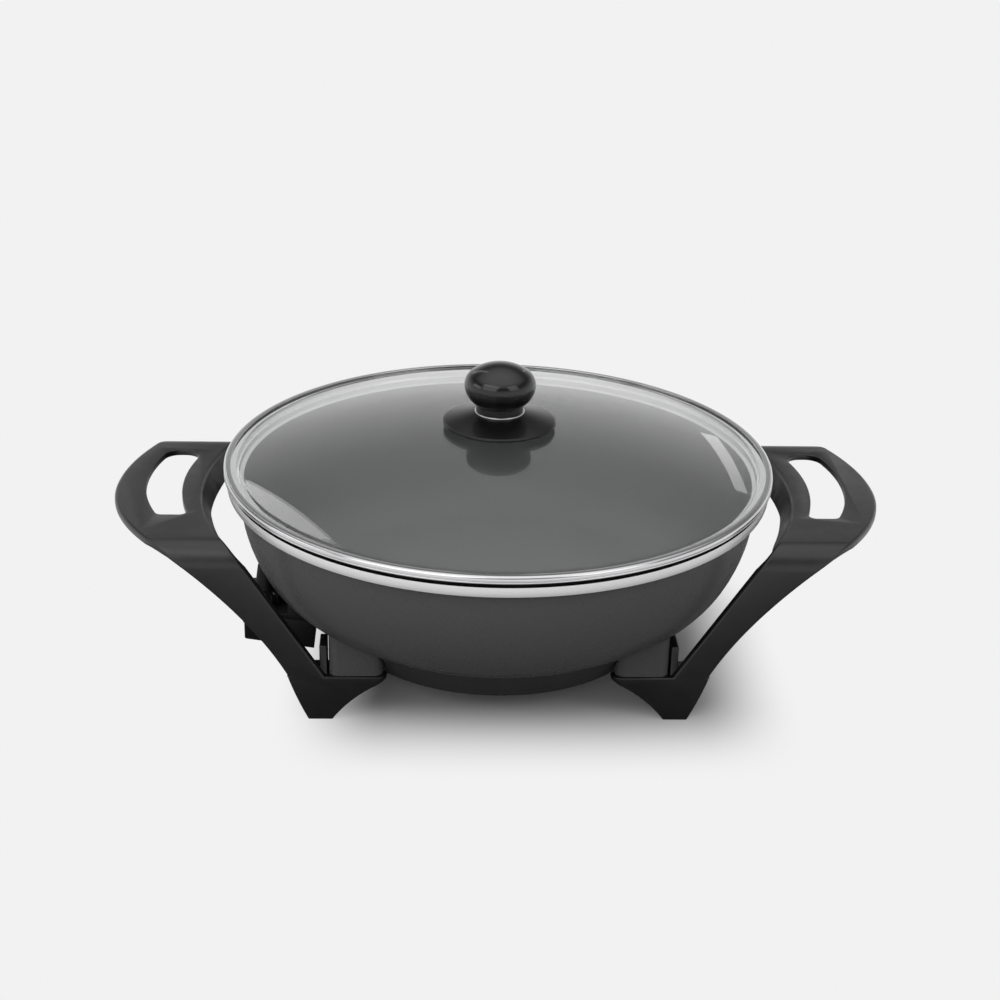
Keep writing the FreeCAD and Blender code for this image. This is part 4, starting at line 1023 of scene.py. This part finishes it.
def fade(offset, ends):
    """0 near the wok, rising smoothly to 1 between the two ends along one direction."""
    node = pale.add("ShaderNodeMapRange", Value=pale.math("ABSOLUTE", offset), From_Min=ends[0],
                    From_Max=ends[1])
    node.interpolation_type = "SMOOTHSTEP"
    return node.outputs["Result"]


seen = seen_directly(pale.tree)
in_mirror = pale.tree.nodes.new("ShaderNodeLightPath").outputs["Is Glossy Ray"]
floor_x, floor_y, _ = pale.parts_of_place()
kept_x = pale.math("SUBTRACT", 1.0, fade(pale.math("SUBTRACT", floor_x, SHADOW_CENTRE), SHADOW_X))
kept_y = pale.math("SUBTRACT", 1.0, fade(floor_y, SHADOW_Y))
far_out = pale.math("SUBTRACT", 1.0, pale.math("MULTIPLY", kept_x, kept_y))
# Near the wok the table is painted a darker grey, a painted shadow that fades out to the far grey.
plain_view = pale.blend_colours(far_out, grey(PAINTED_SHADOW_GREY), grey(FAR_GREY))
# In mirrors the table near the wok is painted darker still: painted shade in the reflections.
shown = pale.blend_colours(in_mirror, plain_view, grey(PAINTED_MIRROR_SHADE_GREY))
pale.dress("Base Color", pale.blend_colours(seen, grey(BOUNCED_GREY), shown))
even_share = map_range(pale.tree, in_mirror, far_out, fade(pale.radius(), MIRROR_SHADE))
even = pale.add("ShaderNodeEmission", Color=grey(1), Strength=BACKGROUND)
mixed = pale.add("ShaderNodeMixShader", Fac=pale.math("MULTIPLY", seen, even_share))
feed(mixed.inputs[1], pale.shader.outputs[0])
feed(mixed.inputs[2], even.outputs[0])
feed(pale.tree.nodes["Material Output"].inputs["Surface"], mixed.outputs[0])
give(table, pale.material)

# %% [markdown]
# ### Lamps
# The light is plain and soft: a lamp overhead and a fill in front, a soft box on each side of the
# front, a small one for the left side, and two narrow strips behind, which draw the highlights on
# the glass. The overhead lamp and the fill are hidden from mirrors and glass, because they would
# lay a hard white line along the rim. A lamp is given by how bright its face looks, and its power
# follows from that and from its size: so a lamp can grow softer without growing brighter.

# %% Lamps
def soft_lamp(name, place, width, height, radiance, upright=False, lean=0):
    """A rectangular lamp that faces the wok; its power follows from how bright its face is."""
    select_nothing()
    bpy.ops.object.light_add(type="AREA", location=place)
    lamp = bpy.context.object
    lamp.name = name
    lamp.data.shape = "RECTANGLE"
    lamp.data.size, lamp.data.size_y = width, height
    lamp.data.energy = radiance * math.pi * width * height
    facing = Vector((0, -1, 0)) if upright else MIDDLE - Vector(place)
    turned = facing.to_track_quat("-Z", "Y") @ Quaternion((0, 0, 1), math.radians(lean))
    lamp.rotation_euler = turned.to_euler()
    lamp.visible_camera = False
    print(name, round(lamp.data.energy, 2), "W")
    return lamp


overhead = soft_lamp("overhead", (0, 0.15, 1.6), width=1.2, height=1.0, radiance=2.2)
front_fill = soft_lamp("front_fill", (-0.2, -1.6, 0.9), width=1.2, height=0.6, radiance=1.0)
for lamp in (overhead, front_fill):
    lamp.visible_glossy = lamp.visible_transmission = False
soft_lamp("left_box", (-0.95, -1.15, 1.35), width=1.6, height=1.45, radiance=1.2)
soft_lamp("right_box", (1.05, -1.0, 1.2), width=0.9, height=1.0, radiance=1.1)
soft_lamp("left_side", (-1.27, -0.11, 0.67), width=0.7, height=0.35, radiance=1.3)
soft_lamp("left_strip", (-1.07, 2.3, 2.03), width=0.13, height=2.2, radiance=1.7, upright=True)
soft_lamp("right_strip", (1.01, 2.3, 0.98), width=0.06, height=0.86, radiance=0.9, upright=True,
          lean=28)

# %% [markdown]
# ### The room around
# The world is a room of one grey. The camera and glass see it as the background. A mirror sees more
# of a room: the background near the horizon, a dark wall above it and a bright ceiling overhead,
# which gives the steel its contrast. A panorama could do this too, but two ramps on the height of
# the ray are enough. Light that falls on the wok comes from the room at a strength of 0.5.

# %% World
DARK_WALL, CEILING, ROOM_LIGHT = 0.16, 1.15, 0.50
WALL_FADE, CEILING_FADE = (0.10, 0.48), (0.60, 0.95)

world = bpy.data.worlds.new("studio")
bpy.context.scene.world = world
world.use_nodes = True
wires = world.node_tree
direction = wires.nodes.new("ShaderNodeTexCoord").outputs["Generated"]
split = wires.nodes.new("ShaderNodeSeparateXYZ")
feed(split.inputs[0], direction)
height = split.outputs["Z"]
rays = wires.nodes.new("ShaderNodeLightPath").outputs
wall = map_range(wires, height, BACKGROUND, DARK_WALL, *WALL_FADE)
mirrored = map_range(wires, height, wall, CEILING, *CEILING_FADE)
lit = map_range(wires, rays["Is Glossy Ray"], ROOM_LIGHT, mirrored)
through = map_range(wires, rays["Is Transmission Ray"], lit, BACKGROUND)
surround = wires.nodes["Background"]
feed(surround.inputs["Color"], grey(1))
feed(surround.inputs["Strength"], map_range(wires, rays["Is Camera Ray"], through, BACKGROUND))
bpy.context.scene.view_settings.view_transform = "Standard"
print("world:", len(wires.nodes), "nodes, background", BACKGROUND)
